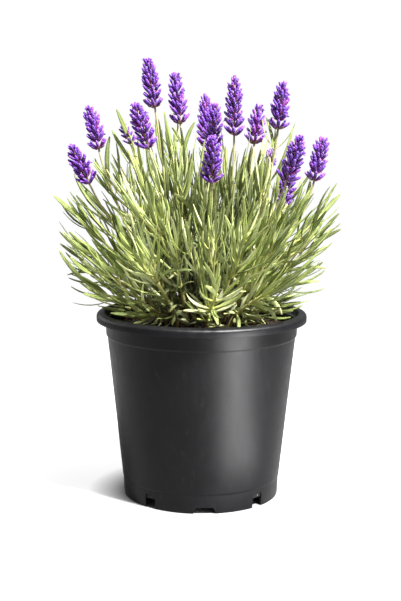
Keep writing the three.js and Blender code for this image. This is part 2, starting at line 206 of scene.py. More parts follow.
class Balls:
    """What takes up room, as balls: x, y, z and radius, and the owner.

    A free ball is one far enough out on a leaf to keep off the other leaves of its owner too.
    """

    def __init__(self, most=20000, reach=13):
        self.rows = np.zeros((most, 4))
        self.owner = np.zeros(most, dtype=int)
        self.free = np.zeros(most, dtype=bool)
        self.reach = reach
        self.count = 0

    def keep(self, points, free, owner):
        new = slice(self.count, self.count + len(points))
        self.rows[new], self.free[new], self.owner[new] = points, free, owner
        self.count = new.stop

    def hits(self, points, free, owner):
        low, high = points[:, :3].min(0) - self.reach, points[:, :3].max(0) + self.reach
        spots = self.rows[:self.count, :3]
        near = np.flatnonzero(((spots > low) & (spots < high)).all(1))
        rows, own = self.rows[near], self.owner[near] == owner
        gap = points[:, None, :3] - rows[None, :, :3]
        far = gap[..., 0] ** 2 + gap[..., 1] ** 2 + gap[..., 2] ** 2
        room = points[:, None, 3] + rows[None, :, 3]
        others = (far < room * room)[:, ~own].any()
        return bool(others or (far[free][:, own & self.free[near]] < OWN_GAP * OWN_GAP).any())


balls = Balls()
feet = []


def place_foot(x, y):
    """The nearest free place to root a stem, searched outward on a spiral."""
    pull = min(1, FOOT_CIRCLE / math.hypot(x, y))
    for i in range(400):
        fx = x * pull + 0.7 * math.sqrt(i) * math.cos(i * 2.4)
        fy = y * pull + 0.7 * math.sqrt(i) * math.sin(i * 2.4)
        if math.hypot(fx, fy) > FOOT_CIRCLE + 2:
            continue
        if all(math.hypot(ox - fx, oy - fy) >= FOOT_SPACING for ox, oy in feet):
            feet.append((fx, fy))
            return fx, fy
    raise RuntimeError("no room for another stem")


def stem_point(stem, t):
    """A point on the straight runs between a CAD stem's stops."""
    stops = stem["stops"]
    i = next(i for i in range(1, len(stops)) if stops[i] >= t)
    share = (t - stops[i - 1]) / (stops[i] - stops[i - 1])
    a, b = bezier(stem["curve"], stops[i - 1]), bezier(stem["curve"], stops[i])
    return a + (b - a) * share


def stem_balls(stem):
    half, tip_half = stem["half"], stem["tip_half"]
    points = [(*stem["foot"], z, 1.3 * half + 0.3) for z in range(ROOT_END, 160, 2)]
    count = math.ceil(np.linalg.norm(stem["curve"][3] - stem["curve"][0]) / 2)
    for i in range(count + 1):
        t = i / count
        points.append((*stem_point(stem, t), 1.3 * (half + (tip_half - half) * t) + 0.3))
    return np.array(points)


def grow_stem(owner, aim, end, heading, lean, kind, draw):
    """A stem from the peat to its end, swayed further at each try until nothing is in its way."""
    foot = place_foot(*aim)
    azimuth = math.atan2(end[1] - foot[1], end[0] - foot[0])
    rise = swing(UP, compass(azimuth), lean)
    start = vec(*foot, COLLAR)
    span = np.linalg.norm(end - start)
    for i in range(60):
        reach = 0.5 * i
        sway = vec(reach * (draw() - 0.5) * 2, reach * (draw() - 0.5) * 2, 0)
        curve = [start, start + rise * (0.34 * span) + sway, end - heading * (0.36 * span) + sway * 0.6, end]
        stem = {"owner": owner, "foot": foot, "curve": curve, "azimuth": azimuth, **kind}
        points = stem_balls(stem)
        bound = np.zeros(len(points), dtype=bool)
        if not balls.hits(points, bound, owner):
            balls.keep(points, bound, owner)
            return {**stem, "leaves": [], "more": []}
    raise RuntimeError("no clear way for a stem")


def leaf_path(root, along, away, length, spread, bend=10.0, lift=0.05):
    """A leaf's root, its bend and its tip, and the direction across it."""
    early, late = spread + math.radians(bend + 1), spread - math.radians(bend - 1)
    inner, outer = LEAF_BEND * length, (1 - LEAF_BEND) * length
    middle = root + along * (inner * math.cos(early)) + away * (inner * math.sin(early))
    tip = middle + along * (outer * math.cos(late)) + away * (outer * math.sin(late)) + UP * (lift * length)
    return {"root": root, "middle": middle, "tip": tip, "flat": cross(along, away), "length": length}


def leaf_balls(leaf):
    count = math.ceil(leaf["length"] / 2)
    points, free = [], []
    for i in range(1, count + 1):
        t = i / count
        if t < LEAF_BEND:
            spot = leaf["root"] + (leaf["middle"] - leaf["root"]) * (t / LEAF_BEND)
        else:
            spot = leaf["middle"] + (leaf["tip"] - leaf["middle"]) * ((t - LEAF_BEND) / (1 - LEAF_BEND))
        points.append((*spot, (LEAF_WIDTH / 2) * min(0.35 + 1.5 * t, 1, 2 * (1 - t)) + 0.4))
        free.append(t > 0.4)
    return np.array(points), np.array(free)


def in_pot(points):
    radius = np.hypot(points[:, 0], points[:, 1])
    low = (radius < 82) & (points[:, 2] < SOIL_CROWN + 4.5)
    rim = (radius >= 82) & (radius < RIM_RADIUS + 3) & (points[:, 2] < POT_HEIGHT + 3)
    return bool((low | rim).any())


def grow_leaf(stem, at, roll, spread, length, draw):
    """A leaf of the CAD, turned further from its place at each try until nothing is in its way."""
    root, along = stem_point(stem, at), tangent(stem["curve"], at)
    side, out = across(along, stem["azimuth"])
    for i in range(12):
        loose = 6 + 4 * i
        turn = roll + math.radians((draw() - 0.5) * 2 * loose)
        lean = max(math.radians(5), spread + math.radians((draw() - 0.5) * loose))
        size = length * (1 - 0.02 * i) * (0.94 + 0.12 * draw())
        leaf = leaf_path(root, along, swing(out, side, turn), size, lean)
        points, free = leaf_balls(leaf)
        if not in_pot(points) and not balls.hits(points, free, stem["owner"]):
            balls.keep(points, free, stem["owner"])
            stem["leaves"].append(leaf)
            return


def grow_pairs(stem, places, length, spread, turn, draw):
    for at, roll in pair_turns(places, turn):
        grow_leaf(stem, at, roll, math.radians(spread) * (1 - 0.55 * at), length * (1.08 - 0.28 * at), draw)


def head_frame(foot, tip):
    """A flower head's foot, its direction and length, and two directions square to it."""
    foot, tip = vec(*foot), vec(*tip)
    length = float(np.linalg.norm(tip - foot))
    along = (tip - foot) / length
    side = unit(cross(vec(0, 1, 0), along))
    return foot, along, length, side, cross(side, along)


HEAD_FRAMES = [head_frame(*head) for head in HEADS]


def grow_plant():
    """The CAD's stalks and shoots with their leaves, by the rules and the draws that the CAD uses."""
    draw = make_random(CAD_SEED)
    for index, (foot, along, length, _, _) in enumerate(HEAD_FRAMES):
        rows = [(*(foot + along * s), 9.6 - 3 * max(0, s / length)) for s in np.arange(-1, length, 3)]
        balls.keep(np.array(rows), False, index)
    stalks, shoots = [], []
    for index, (foot, along, _, _, _) in enumerate(HEAD_FRAMES):
        end = foot - along * GAP
        lean = math.radians(10 + 0.12 * math.hypot(end[0], end[1]))
        stalks.append(grow_stem(index, 0.27 * end[:2], end, along, lean, STALK, draw))
    for index, (azimuth, lean, reach) in enumerate(SHOOTS):
        tall = lean < 46
        level, lean = compass(math.radians(azimuth)), math.radians(lean)
        heading = swing(UP, level, lean * 0.95)
        tip = level * (reach * math.sin(lean)) + UP * (BUSH_BASE + reach * math.cos(lean))
        stem = grow_stem(100 + index, 0.3 * tip[:2], tip - heading * 30, heading, 0.42 * lean, SHOOT, draw)
        shoots.append({**stem, "tall": tall})
    for turn in (0, math.pi):
        spread, length = math.radians(HIGH_PAIR["spread"]), HIGH_PAIR["length"]
        grow_leaf(stalks[HIGH_PAIR["stalk"]], HIGH_PAIR["at"], turn, spread, length, draw)
    for stem in shoots:
        grow_pairs(stem, [0.88], 40, 20, 0, draw)
    for stem in shoots:
        places = [0.2, 0.34, 0.48, 0.61, 0.75] if stem["tall"] else [0.28, 0.45, 0.6, 0.74]
        grow_pairs(stem, places, 46, 44, math.radians(90) * math.floor(draw() * 2), draw)
    for stem in stalks:
        grow_pairs(stem, [0.18, 0.35, 0.52], 47, 34, math.radians(90) * math.floor(draw() * 2), draw)
    return stalks, shoots


stalks, shoots = grow_plant()

# ---- occupancy
CELL = 1.3
ORIGIN = vec(-150, -150, 100)
TAKEN = np.zeros((231, 231, 240), dtype=bool)


def cells(points):
    return tuple(((points - ORIGIN) / CELL).astype(int).T)


def occupy(points):
    TAKEN[cells(points)] = True


def is_taken(points):
    return bool(TAKEN[cells(points)].any())


def leaf_curve(root, middle, tip, t):
    """The smooth line through a leaf's root, its bend and its tip, and its slope."""
    b = LEAF_BEND
    k0, k1, k2 = 1 / b, 1 / (b * (b - 1)), 1 / (1 - b)
    spot = k0 * (t - b) * (t - 1) * root + k1 * t * (t - 1) * middle + k2 * t * (t - b) * tip
    slope = k0 * (2 * t - b - 1) * root + k1 * (2 * t - 1) * middle + k2 * (2 * t - b) * tip
    return spot, slope


def leaf_samples(leaf, start=0.1):
    """Points on a leaf's blade, from a place near its root to its tip."""
    count = max(4, int(leaf["length"] / 1.1))
    t = np.linspace(start, 1, count)[:, None]
    spot, _ = leaf_curve(leaf["root"], leaf["middle"], leaf["tip"], t)
    return np.concatenate([spot + leaf["flat"] * (0.5 * leaf["width"] * k) for k in (-0.85, 0, 0.85)])


def round_samples(line, radius):
    """Points of a line and of eight more round it."""
    turns = np.linspace(0, 2 * math.pi, 9)[:-1]
    return np.concatenate([line] + [line + radius * compass(turn) for turn in turns])


def curve_line(curve):
    count = max(4, int(np.linalg.norm(curve[3] - curve[0])))
    return bezier(curve, np.linspace(0, 1, count)[:, None])


# ---- more foliage than the CAD holds
EXTRA_SEED = 411
rng = np.random.RandomState(EXTRA_SEED)
DOME = ([0, 12, 22, 35, 47, 58, 66, 75, 83, 90], [200, 203, 205, 184, 176, 153, 135, 106, 84, 74])
SIDE_REACH = 74
THIN_REACH = 80
LEFT_END, RIGHT_END, DEPTH_END = -131, 127, 120


def dome_share(points):
    """How far out points lie, as a share of the reach that the leafy shoots have in that direction."""
    level, rise = np.hypot(points[:, 0], points[:, 1]), points[:, 2] - BUSH_BASE
    return np.hypot(level, rise) / np.interp(np.degrees(np.arctan2(level, rise)), *DOME)


def inside_dome(spot, margin):
    lean = math.degrees(math.atan2(math.hypot(spot[0], spot[1]), spot[2] - BUSH_BASE))
    if spot[0] > 0.6 * abs(spot[1]):
        margin *= np.interp(lean, (44, 54, 72), (1, 0.92, 0.8))
    in_ends = LEFT_END < spot[0] < RIGHT_END and abs(spot[1]) < DEPTH_END
    return in_ends and dome_share(spot[None])[0] < margin


def in_hollow(spot):
    """True low in the front of the plant, where few leaves hide the stems behind, which lie in shade and are
    darkened further with painted shade.
    """
    return spot[1] < -20 and abs(spot[0]) < 76 and spot[2] < 228 - 0.25 * abs(spot[0])


def clear_of_pot(points):
    radius = np.hypot(points[:, 0], points[:, 1])
    low = (radius < 86) & (points[:, 2] < SOIL_CROWN + 1.5 - radius * 0.045)
    skirt = (radius >= 84) & (points[:, 2] < POT_HEIGHT + 1.2 + np.maximum(0, 0.9 * (radius - 88)))
    return not (low | skirt).any()


def try_leaf(root, along, away, length, spread, width, bend, lift, margin, loose):
    """One more leaf where there is room for it, or None."""
    side = cross(along, away)
    for i in range(6):
        turn = math.radians(rng.uniform(-1, 1) * (14 + 9 * i) * loose)
        lean = spread + math.radians(rng.uniform(-1, 1) * (8 + 3 * i) * loose)
        size = length * (1 - 0.03 * i) * rng.uniform(0.85, 1.15)
        leaf = leaf_path(root, along, swing(away, side, turn), size, lean, rng.uniform(*bend), lift)
        leaf["middle"] = leaf["middle"] + leaf["flat"] * (size * rng.uniform(-0.045, 0.045))
        leaf["width"] = width
        if not inside_dome(leaf["tip"], margin * rng.uniform(0.88, 1.06)):
            continue
        if in_hollow(leaf["tip"]) and rng.uniform() < (0.8 if loose == 1 else 0.1):
            return None
        if abs(leaf["tip"][0]) > THIN_REACH and rng.uniform() < 0.5:
            return None
        body = leaf_samples(leaf, 0.25)
        if clear_of_pot(body) and not is_taken(body):
            occupy(leaf_samples(leaf))
            return leaf
    return None


def stem_frame(stem, at):
    """A place on a stem, its direction there, and the directions sideways and out from it."""
    along = tangent(stem["curve"], at)
    return bezier(stem["curve"], at), along, *across(along, stem["azimuth"])


def paint_side_shade(leaf):
    """The leaves that reach out at the sides are broader, and drawn in a darker sage tone as painted shade.
    """
    if abs(leaf["tip"][0]) > SIDE_REACH:
        leaf["tone"] = rng.uniform(0.02, 0.5)
        leaf["width"] *= 1.2


def add_leaves(stem, places, length, spread, width, bend=(-4, 14), lift=0.04, margin=1.0, loose=1.0):
    """Pairs of leaves at the given places of a stem, where there is room for them."""
    for at, roll in pair_turns(places, rng.uniform(0, math.pi)):
        spot, along, side, out = stem_frame(stem, at)
        leaf = try_leaf(spot, along, swing(out, side, roll), length * (1.08 - 0.26 * at),
                        math.radians(spread) * (1 - 0.6 * at), width * rng.uniform(0.75, 1.15),
                        bend, lift, margin, loose)
        # Painted light: the short low leaves get a lighter tone in place of light on the lower foliage.
        if leaf and loose > 1:
            leaf["tone"] = rng.uniform(0.6, 1.0)
        if leaf:
            paint_side_shade(leaf)
            stem["more"].append(leaf)


def side_twig(parent, at, reach):
    """A short leafy branch from a stem, bending upward, or None where there is no room."""
    spot, along, side, out = stem_frame(parent, at)
    for _ in range(7):
        away = swing(out, side, rng.uniform(0, 2 * math.pi))
        start_way = swing(along, away, math.radians(rng.uniform(28, 52)))
        size = reach * rng.uniform(0.75, 1.15)
        end_way = unit(along * 0.9 + away * 0.38 + UP * 0.35)
        end = spot + start_way * (0.5 * size) + end_way * (0.5 * size)
        curve = [spot, spot + start_way * (0.33 * size), end - end_way * (0.33 * size), end]
        line = curve_line(curve)
        if not inside_dome(end, 0.93) or not clear_of_pot(line) or in_hollow(end):
            continue
        if not is_taken(round_samples(line[6:], 1.0)):
            occupy(round_samples(line[2:], 0.8))
            azimuth = math.atan2(end[1] - spot[1], end[0] - spot[0])
            return {"curve": curve, "azimuth": azimuth, "half": 0.85, "tip_half": 0.55, "more": []}
    return None


# Stem, its number, place along it, the tip picked in the photo, width and tone
LONG_LEAVES = [
    ("shoot", 0, 0.94, (-133, 4, 271), 4.7, 0.45), ("stalk", 0, 0.78, (-104, -10, 277), 4.1, 0.25),
    ("stalk", 15, 0.92, (-78, 27, 348), 4.7, 0.35), ("stalk", 1, 0.8, (-83, 10, 324), 4.7, 0.2),
    ("shoot", 7, 0.92, (-35, 15, 346), 2.5, 0.5), ("stalk", 4, 0.88, (-28, 20, 332), 2.7, 0.5),
    ("stalk", 4, 0.84, (-7, 20, 337), 3.8, 0.35), ("shoot", 1, 0.98, (-122, -17, 240), 2.7, 0.2),
    ("shoot", 3, 0.98, (-128, -5, 223), 4.1, 0.35), ("shoot", 2, 0.84, (-123, 13, 198), 2.5, 0.3),
    ("shoot", 3, 0.8, (-101, -7, 182), 3.2, 0.1), ("shoot", 0, 0.92, (-121, 4, 269), 2.5, 0.4),
    ("shoot", 0, 0.9, (-113, 4, 268), 2.9, 0.35), ("stalk", 1, 0.78, (-98, 10, 299), 2.5, 0.3),
    ("stalk", 1, 0.78, (-90, 10, 298), 2.7, 0.3), ("shoot", 16, 0.72, (-24, -49, 277), 4.3, 0.7),
    ("shoot", 15, 0.54, (-61, -56, 210), 4.5, 0.9), ("shoot", 14, 0.54, (-16, -50, 233), 3.8, 0.9),
    ("shoot", 4, 0.56, (-68, -34, 194), 4.7, 0.75), ("shoot", 4, 0.44, (-51, -32, 198), 4.3, 0.8),
    ("shoot", 8, 0.82, (124, 3, 274), 4.5, 0.5), ("shoot", 9, 0.9, (114, -18, 245), 4.0, 0.5),
    ("shoot", 9, 0.64, (111, -15, 209), 3.4, 0.6), ("shoot", 10, 0.66, (108, 11, 194), 3.6, 0.5),
    ("stalk", 10, 0.86, (55, -12, 342), 3.2, 0.3), ("stalk", 14, 0.78, (97, 4, 285), 3.1, 0.4),
    ("shoot", 14, 0.66, (-44, -54, 277), 3.8, 0.7), ("shoot", 14, 0.68, (-38, -55, 277), 3.2, 0.85),
    ("shoot", 14, 0.66, (-30, -54, 263), 3.4, 0.95), ("shoot", 15, 0.76, (-49, -66, 256), 3.6, 0.75),
    ("shoot", 20, 0.58, (65, -55, 167), 4.3, 0.85), ("shoot", 17, 0.62, (19, -58, 260), 4.0, 0.8),
    ("shoot", 17, 0.82, (34, -67, 277), 3.6, 0.6), ("stalk", 12, 0.5, (57, -38, 267), 3.6, 0.7),
    ("shoot", 19, 0.98, (2, -103, 225), 3.9, 0.55),
    ("shoot", 14, 0.48, (-29, -45, 221), 4.3, 0.6), ("shoot", 14, 0.56, (-18, -48, 231), 4.0, 0.75),
    ("shoot", 16, 0.42, (9, -38, 215), 4.3, 0.5), ("shoot", 15, 0.56, (-8, -55, 212), 4.1, 0.3),
    ("shoot", 14, 0.18, (-4, -34, 161), 4.5, 0.85), ("stalk", 2, 0.2, (-36, -31, 184), 4.5, 0.95),
    ("shoot", 16, 0.14, (10, -29, 176), 4.1, 0.7), ("shoot", 19, 0.96, (3, -100, 205), 4.5, 0.8),
    ("shoot", 17, 0.46, (10, -49, 229), 3.8, 0.6), ("stalk", 7, 0.52, (-15, -51, 235), 3.8, 0.4),
    ("stalk", 12, 0.2, (51, -26, 189), 3.8, 0.9), ("stalk", 12, 0.16, (43, -25, 177), 4.3, 0.8),
    ("shoot", 20, 0.74, (69, -57, 174), 4.0, 0.85), ("shoot", 19, 0.44, (14, -65, 166), 4.3, 0.75),
    ("shoot", 14, 0.12, (-26, -33, 160), 4.1, 0.7), ("shoot", 13, 0.46, (59, -36, 230), 3.2, 0.85),
    ("shoot", 13, 0.48, (72, -36, 215), 3.4, 0.8), ("shoot", 17, 0.5, (28, -51, 232), 3.6, 0.7),
    ("shoot", 13, 0.14, (39, -30, 162), 4.1, 0.8), ("shoot", 15, 0.22, (-45, -40, 184), 4.1, 0.6),
    ("shoot", 13, 0.2, (23, -31, 167), 4.0, 0.95), ("shoot", 16, 0.18, (-15, -30, 191), 4.3, 0.55),
    ("shoot", 4, 0.54, (-58, -30, 168), 3.4, 0.7), ("shoot", 20, 0.48, (56, -48, 175), 3.8, 0.6),
    ("shoot", 15, 0.14, (-10, -37, 164), 3.8, 0.9),
]


def long_leaf(stem, at, tip, width, tone):
    """A leaf from a place on a stem to a chosen tip, leaving along the stem and then bending over."""
    root, along = bezier(stem["curve"], at), tangent(stem["curve"], at)
    run = tip - root
    length = float(np.linalg.norm(run))
    middle = root + unit(unit(run) * 0.8 + along * 0.4) * (LEAF_BEND * length)
    flat = unit(cross(run, vec(rng.uniform(-0.4, 0.4), -1, rng.uniform(0, 0.5))))
    leaf = {"root": root, "middle": middle, "tip": tip, "flat": flat}
    leaf.update(length=length, width=width, tone=tone)
    occupy(leaf_samples(leaf))
    return leaf


# ---- mesh building
DEPTH_RADIUS = 68


class Body:
    """Closed shells gathered into one mesh, with what its materials read at each point.

    tone: r along, g a draw for the whole blade or floret, b across, a which side or kind.
    blade: millimetres along and across, and a number that differs from blade to blade. Turned solids
    and chips give their points instead.
    """

    def __init__(self):
        self.shells = []
        self.count = 0

    def add(self, points, quads, tris, tone, blade, look=0):
        points, quads, tris = points.reshape(-1, 3), quads.reshape(-1, 4), tris.reshape(-1, 3)
        volume = 0
        for faces in (tris, quads[:, :3], quads[:, [0, 2, 3]]):
            a, b, c = (points[faces[:, k]] for k in range(3))
            volume += np.einsum("ij,ij->i", a, np.cross(b, c)).sum()
        if volume < 0:
            quads, tris = quads[:, ::-1], tris[:, ::-1]
        looks = np.full(len(quads), look), np.full(len(tris), look)
        marks = tone.reshape(-1, 4), blade.reshape(-1, 3)
        self.shells.append((points, quads + self.count, tris + self.count, *looks, *marks))
        self.count += len(points)

    def build(self, name, looks, slot, nodes=(), smooth=True):
        points, quads, tris, quad_looks, tri_looks, tone, blade = map(np.concatenate, zip(*self.shells))
        mesh = bpy.data.meshes.new(name)
        mesh.vertices.add(len(points))
        mesh.vertices.foreach_set("co", (points * MM).astype(np.float32).ravel())
        corners = np.concatenate([quads.ravel(), tris.ravel()]).astype(np.int32)
        mesh.loops.add(len(corners))
        mesh.loops.foreach_set("vertex_index", corners)
        mesh.polygons.add(len(quads) + len(tris))
        starts = np.concatenate([np.arange(len(quads)) * 4, len(quads) * 4 + np.arange(len(tris)) * 3])
        mesh.polygons.foreach_set("loop_start", starts.astype(np.int32))
        picks = np.concatenate([quad_looks, tri_looks]).astype(np.int32)
        mesh.polygons.foreach_set("material_index", picks)
        mesh.polygons.foreach_set("use_smooth", np.full(len(picks), smooth))
        # How far out each point lies; the leaf and stem looks paint shade from it, darker deep inside the
        # bush.
        depth = np.maximum(dome_share(points), np.hypot(points[:, 0], points[:, 1]) / DEPTH_RADIUS)
        for label, kind, field, values in (
            ("tone", "FLOAT_COLOR", "color", tone),
            ("depth", "FLOAT", "value", depth),
            ("blade", "FLOAT_VECTOR", "vector", blade),
        ):
            data = mesh.attributes.new(label, kind, "POINT").data
            data.foreach_set(field, values.astype(np.float32).ravel())
        mesh.update(calc_edges=True)
        mesh.validate()
        return add_piece(name, mesh, looks, nodes)


def add_piece(name, mesh, looks, nodes):
    piece = place(name, mesh)
    for look in looks:
        mesh.materials.append(look)
    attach(piece, "root")
    if nodes:
        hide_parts(*nodes)
    return piece


def fan(sides, first, centre):
    """Triangles from a ring of points, of which the first is given, to a centre."""
    a = np.arange(sides)
    return np.stack([first + (a + 1) % sides, first + a, np.full(sides, centre)], -1)


def tube_faces(rings, sides):
    """Quads between rings of points, and fans to the two end points that follow the rings."""
    row = np.arange(rings - 1)[:, None] * sides
    a = np.arange(sides)[None, :]
    b = (a + 1) % sides
    quads = np.stack([row + a, row + b, row + sides + b, row + sides + a], -1).reshape(-1, 4)
    first, last = fan(sides, 0, rings * sides), fan(sides, (rings - 1) * sides, rings * sides + 1)
    return quads, np.concatenate([first, last[:, ::-1]])


def columns(count, *values):
    """A table of that many rows from numbers and lists of numbers."""
    return np.stack([np.broadcast_to(value, count) for value in values], -1)


def ring_angles(sides):
    return np.arange(sides) * 2 * math.pi / sides


FINE = {
    "top": [-1, -0.62, -0.17, 0, 0.17, 0.62, 1], "under": [0.6, 0, -0.6],
    "stops": [0.02, 0.08, 0.22, 0.4, 0.57, 0.73, 0.86, 0.945, 0.985],
}
PLAIN = {
    "top": [-1, -0.5, 0, 0.5, 1], "under": [0.5, 0, -0.5],
    "stops": [0.02, 0.1, 0.3, 0.52, 0.74, 0.9, 0.975],
}
LEAF_FORM = (
    [0, 0.06, 0.2, 0.45, 0.65, 0.82, 0.93, 0.98, 1],
    [0.36, 0.42, 0.66, 1, 0.96, 0.76, 0.5, 0.32, 0.18],
)
PETAL_FORM = ([0, 0.2, 0.5, 0.75, 0.92, 1], [0.45, 0.7, 1, 0.98, 0.6, 0.3])
SLIMNESS = ([0, 0.1, 0.6, 1], [1.25, 1.05, 1, 0.55])


def swing_all(start, towards, angle):
    """Swing for whole tables of directions."""
    return start * np.cos(angle) + towards * np.sin(angle)


def add_blades(body, leaves, detail=FINE, form=LEAF_FORM, look=0, thick=0.62, arch=0.26, groove=0.13):
    """Closed leaf blades: arched, grooved along the midrib above and ribbed below, blunt at the tip."""
    if not leaves:
        return
    n = len(leaves)
    line = [np.array([leaf[k] for leaf in leaves])[:, None, :] for k in ("root", "middle", "tip")]
    flat = np.array([leaf["flat"] for leaf in leaves])[:, None, :]
    width, length = (np.array([leaf[k] for leaf in leaves])[:, None] for k in ("width", "length"))
    twist = np.array([leaf.get("twist", rng.uniform(-0.3, 0.3)) for leaf in leaves])
    t = np.array(detail["stops"])
    spot, slope = leaf_curve(*line, t[None, :, None])
    slope /= np.linalg.norm(slope, axis=-1, keepdims=True)
    flat = flat - (flat * slope).sum(-1, keepdims=True) * slope
    flat /= np.linalg.norm(flat, axis=-1, keepdims=True)
    up = np.cross(slope, flat)
    turn = (twist[:, None] * t[None, :])[..., None]
    wide, high = swing_all(flat, up, turn), swing_all(up, -flat, turn)
    half = 0.5 * width * np.interp(t, *form)[None, :]
    u = np.array(detail["top"] + detail["under"])
    is_top = np.arange(len(u)) < len(detail["top"])
    crown, rib, edge = 1 - np.abs(u) ** 3, np.exp(-((u / 0.22) ** 2)), np.abs(u) > 0.99
    level = half[..., None] * (arch * crown - groove * rib * np.where(is_top, 1, 0.2))
    slim = 0.5 * thick * np.interp(t, *SLIMNESS)
    level = level + slim[None, :, None] * np.where(edge, 0, np.where(is_top, 1, -1))
    aside = half[..., None] * u
    points = spot[:, :, None] + wide[:, :, None] * aside[..., None] + high[:, :, None] * level[..., None]
    ends, _ = leaf_curve(*line, np.array([0.0, 1.0])[None, :, None])
    points = np.concatenate([points.reshape(n, -1, 3), ends], 1)
    rings, sides = len(t), len(u)
    shift = (np.arange(n) * (rings * sides + 2))[:, None, None]
    run = np.append(np.repeat(t, sides), (0, 1))
    off = np.append(np.tile(np.abs(u), rings), (0, 0.6))
    face = np.append(np.tile(is_top, rings), (1, 1))
    draw = np.array([leaf.get("tone", rng.uniform()) for leaf in leaves])[:, None]
    aside = np.concatenate([aside.reshape(n, -1), np.zeros((n, 2))], 1)
    quads, tris = tube_faces(rings, sides)
    tone = columns(aside.shape, run, draw, off, face)
    blade = columns(aside.shape, run * length, aside, rng.uniform(0, 300, n)[:, None])
    body.add(points, quads[None] + shift, tris[None] + shift, tone, blade, look)


KNOT_SWELL = 0.16
ROOT_RINGS = ((ROOT_END + 4, 150, 155), (1.25, 1.2, 1.12), (-0.12, -0.07, -0.04))


def add_stem(body, stem, look, rings, sides, knots=()):
    """A square stem with rounded corners, a little thicker where leaves join it and where it is rooted."""
    curve = stem["curve"]
    stops = np.linspace(0, 1, rings)
    spots, ways = [bezier(curve, t) for t in stops], [tangent(curve, t) for t in stops]
    halves = stem["half"] + (stem["tip_half"] - stem["half"]) * stops
    halves = halves * (1 + KNOT_SWELL * sum(np.exp(-(((stops - k) / 0.018) ** 2)) for k in knots))
    if "foot" in stem:
        heights, girths, places = ROOT_RINGS
        spots = [vec(*stem["foot"], z) for z in heights] + spots
        ways = [UP] * len(heights) + ways
        halves = np.concatenate([stem["half"] * np.array(girths), halves])
        stops = np.concatenate([places, stops])
    angle = ring_angles(sides)
    square = (np.abs(np.cos(angle)) ** 4 + np.abs(np.sin(angle)) ** 4) ** -0.25
    points, tone, blade = [], [], []
    draw, number = rng.uniform(), rng.uniform(0, 300)
    run = 0.0
    for i, (spot, way, half, t) in enumerate(zip(spots, ways, halves, stops)):
        side, out = across(way, stem["azimuth"])
        run += np.linalg.norm(spot - spots[max(i - 1, 0)])
        reach = (half * square)[:, None]
        points.append(spot + out * reach * np.cos(angle)[:, None] + side * reach * np.sin(angle)[:, None])
        tone.append(columns(sides, t, draw, square - 1, 0.5))
        blade.append(columns(sides, run, angle * half, number))
    points.append([spots[0], spots[-1] + ways[-1] * (0.8 * halves[-1])])
    tone.append([[stops[0], draw, 0, 0.5], [1, draw, 0, 0.5]])
    blade.append([[0, 0, number], [run, 0, number]])
    faces = tube_faces(len(spots), sides)
    body.add(np.concatenate(points), *faces, np.concatenate(tone), np.concatenate(blade), look)


# ---- materials
WHITE = (1, 1, 1, 1)


def linear(red, green, blue):
    """A colour given in display values from 0 to 255."""
    out = []
    for value in (red, green, blue):
        value /= 255
        out.append(value / 12.92 if value <= 0.04045 else ((value + 0.055) / 1.055) ** 2.4)
    return (*out, 1.0)


def add_node(tree, kind, inputs=(), **settings):
    """A new node with its settings made, and its inputs set to numbers or wired to other nodes."""
    node = tree.nodes.new("ShaderNode" + kind)
    for name, value in settings.items():
        setattr(node, name, value)
    for socket, source in dict(inputs).items():
        if isinstance(source, bpy.types.NodeSocket):
            tree.links.new(source, node.inputs[socket])
        else:
            node.inputs[socket].default_value = source
    return node


class Look:
    """A material, short ways to wire its nodes, and its colour so far, washed on layer by layer."""

    def __init__(self, name, **numbers):
        self.material = bpy.data.materials.new(name)
        self.material.use_nodes = True
        self.tree = self.material.node_tree
        self.shader = self.tree.nodes["Principled BSDF"]
        for socket, value in numbers.items():
            self.shader.inputs[socket.replace("_", " ")].default_value = value

    def node(self, kind, inputs=(), **settings):
        return add_node(self.tree, kind, inputs, **settings).outputs

    def wire(self, source, socket):
        self.tree.links.new(source, self.shader.inputs[socket])

    def tone(self):
        read = self.node("Attribute", attribute_name="tone")
        return *self.node("SeparateColor", {0: read["Color"]}), read["Alpha"]

    def depth(self):
        return self.node("Attribute", attribute_name="depth")["Fac"]

    def blade(self, *stretch):
        return self.scaled(self.node("Attribute", attribute_name="blade")["Vector"], stretch)

    def spot(self, *stretch):
        return self.scaled(self.node("TexCoord")["Object"], stretch or (1, 1, 1))

    def scaled(self, vector, stretch):
        return self.node("Mapping", {"Vector": vector, "Scale": stretch})[0]

    def noise(self, vector, scale, detail=3.0, rough=0.55):
        inputs = {"Vector": vector, "Scale": scale, "Detail": detail, "Roughness": rough}
        return self.node("TexNoise", inputs)["Fac"]

    def fit(self, value, low, high, start, end):
        return self.node("MapRange", {0: value, 1: low, 2: high, 3: start, 4: end})[0]

    def multiply(self, a, b):
        return self.node("Math", {0: a, 1: b}, operation="MULTIPLY")[0]

    def start(self, value, *stops):
        """The first colour: a ramp over a value, from places and display colours."""
        ramp = add_node(self.tree, "ValToRGB", {0: value})
        points = ramp.color_ramp.elements
        while len(points) < len(stops):
            points.new(0.5)
        for point, (at, colour) in zip(points, stops):
            point.position = at
            point.color = linear(*colour)
        self.base = ramp.outputs[0]

    def wash(self, colour, share, *fit):
        """Lay a display colour over the rest by a share, or by a value fitted to one."""
        share = self.fit(share, *fit) if fit else share
        self.base = self.node("Mix", {0: share, 6: self.base, 7: linear(*colour)}, data_type="RGBA")[2]

    def finish(self, rough_by, rough_fit, bump_by, bump_depth):
        self.wire(self.base, "Base Color")
        self.wire(self.fit(rough_by, *rough_fit), "Roughness")
        bump = self.node("Bump", {"Strength": 1.0, "Distance": bump_depth * MM, "Height": bump_by})
        self.wire(bump[0], "Normal")
        return self.material


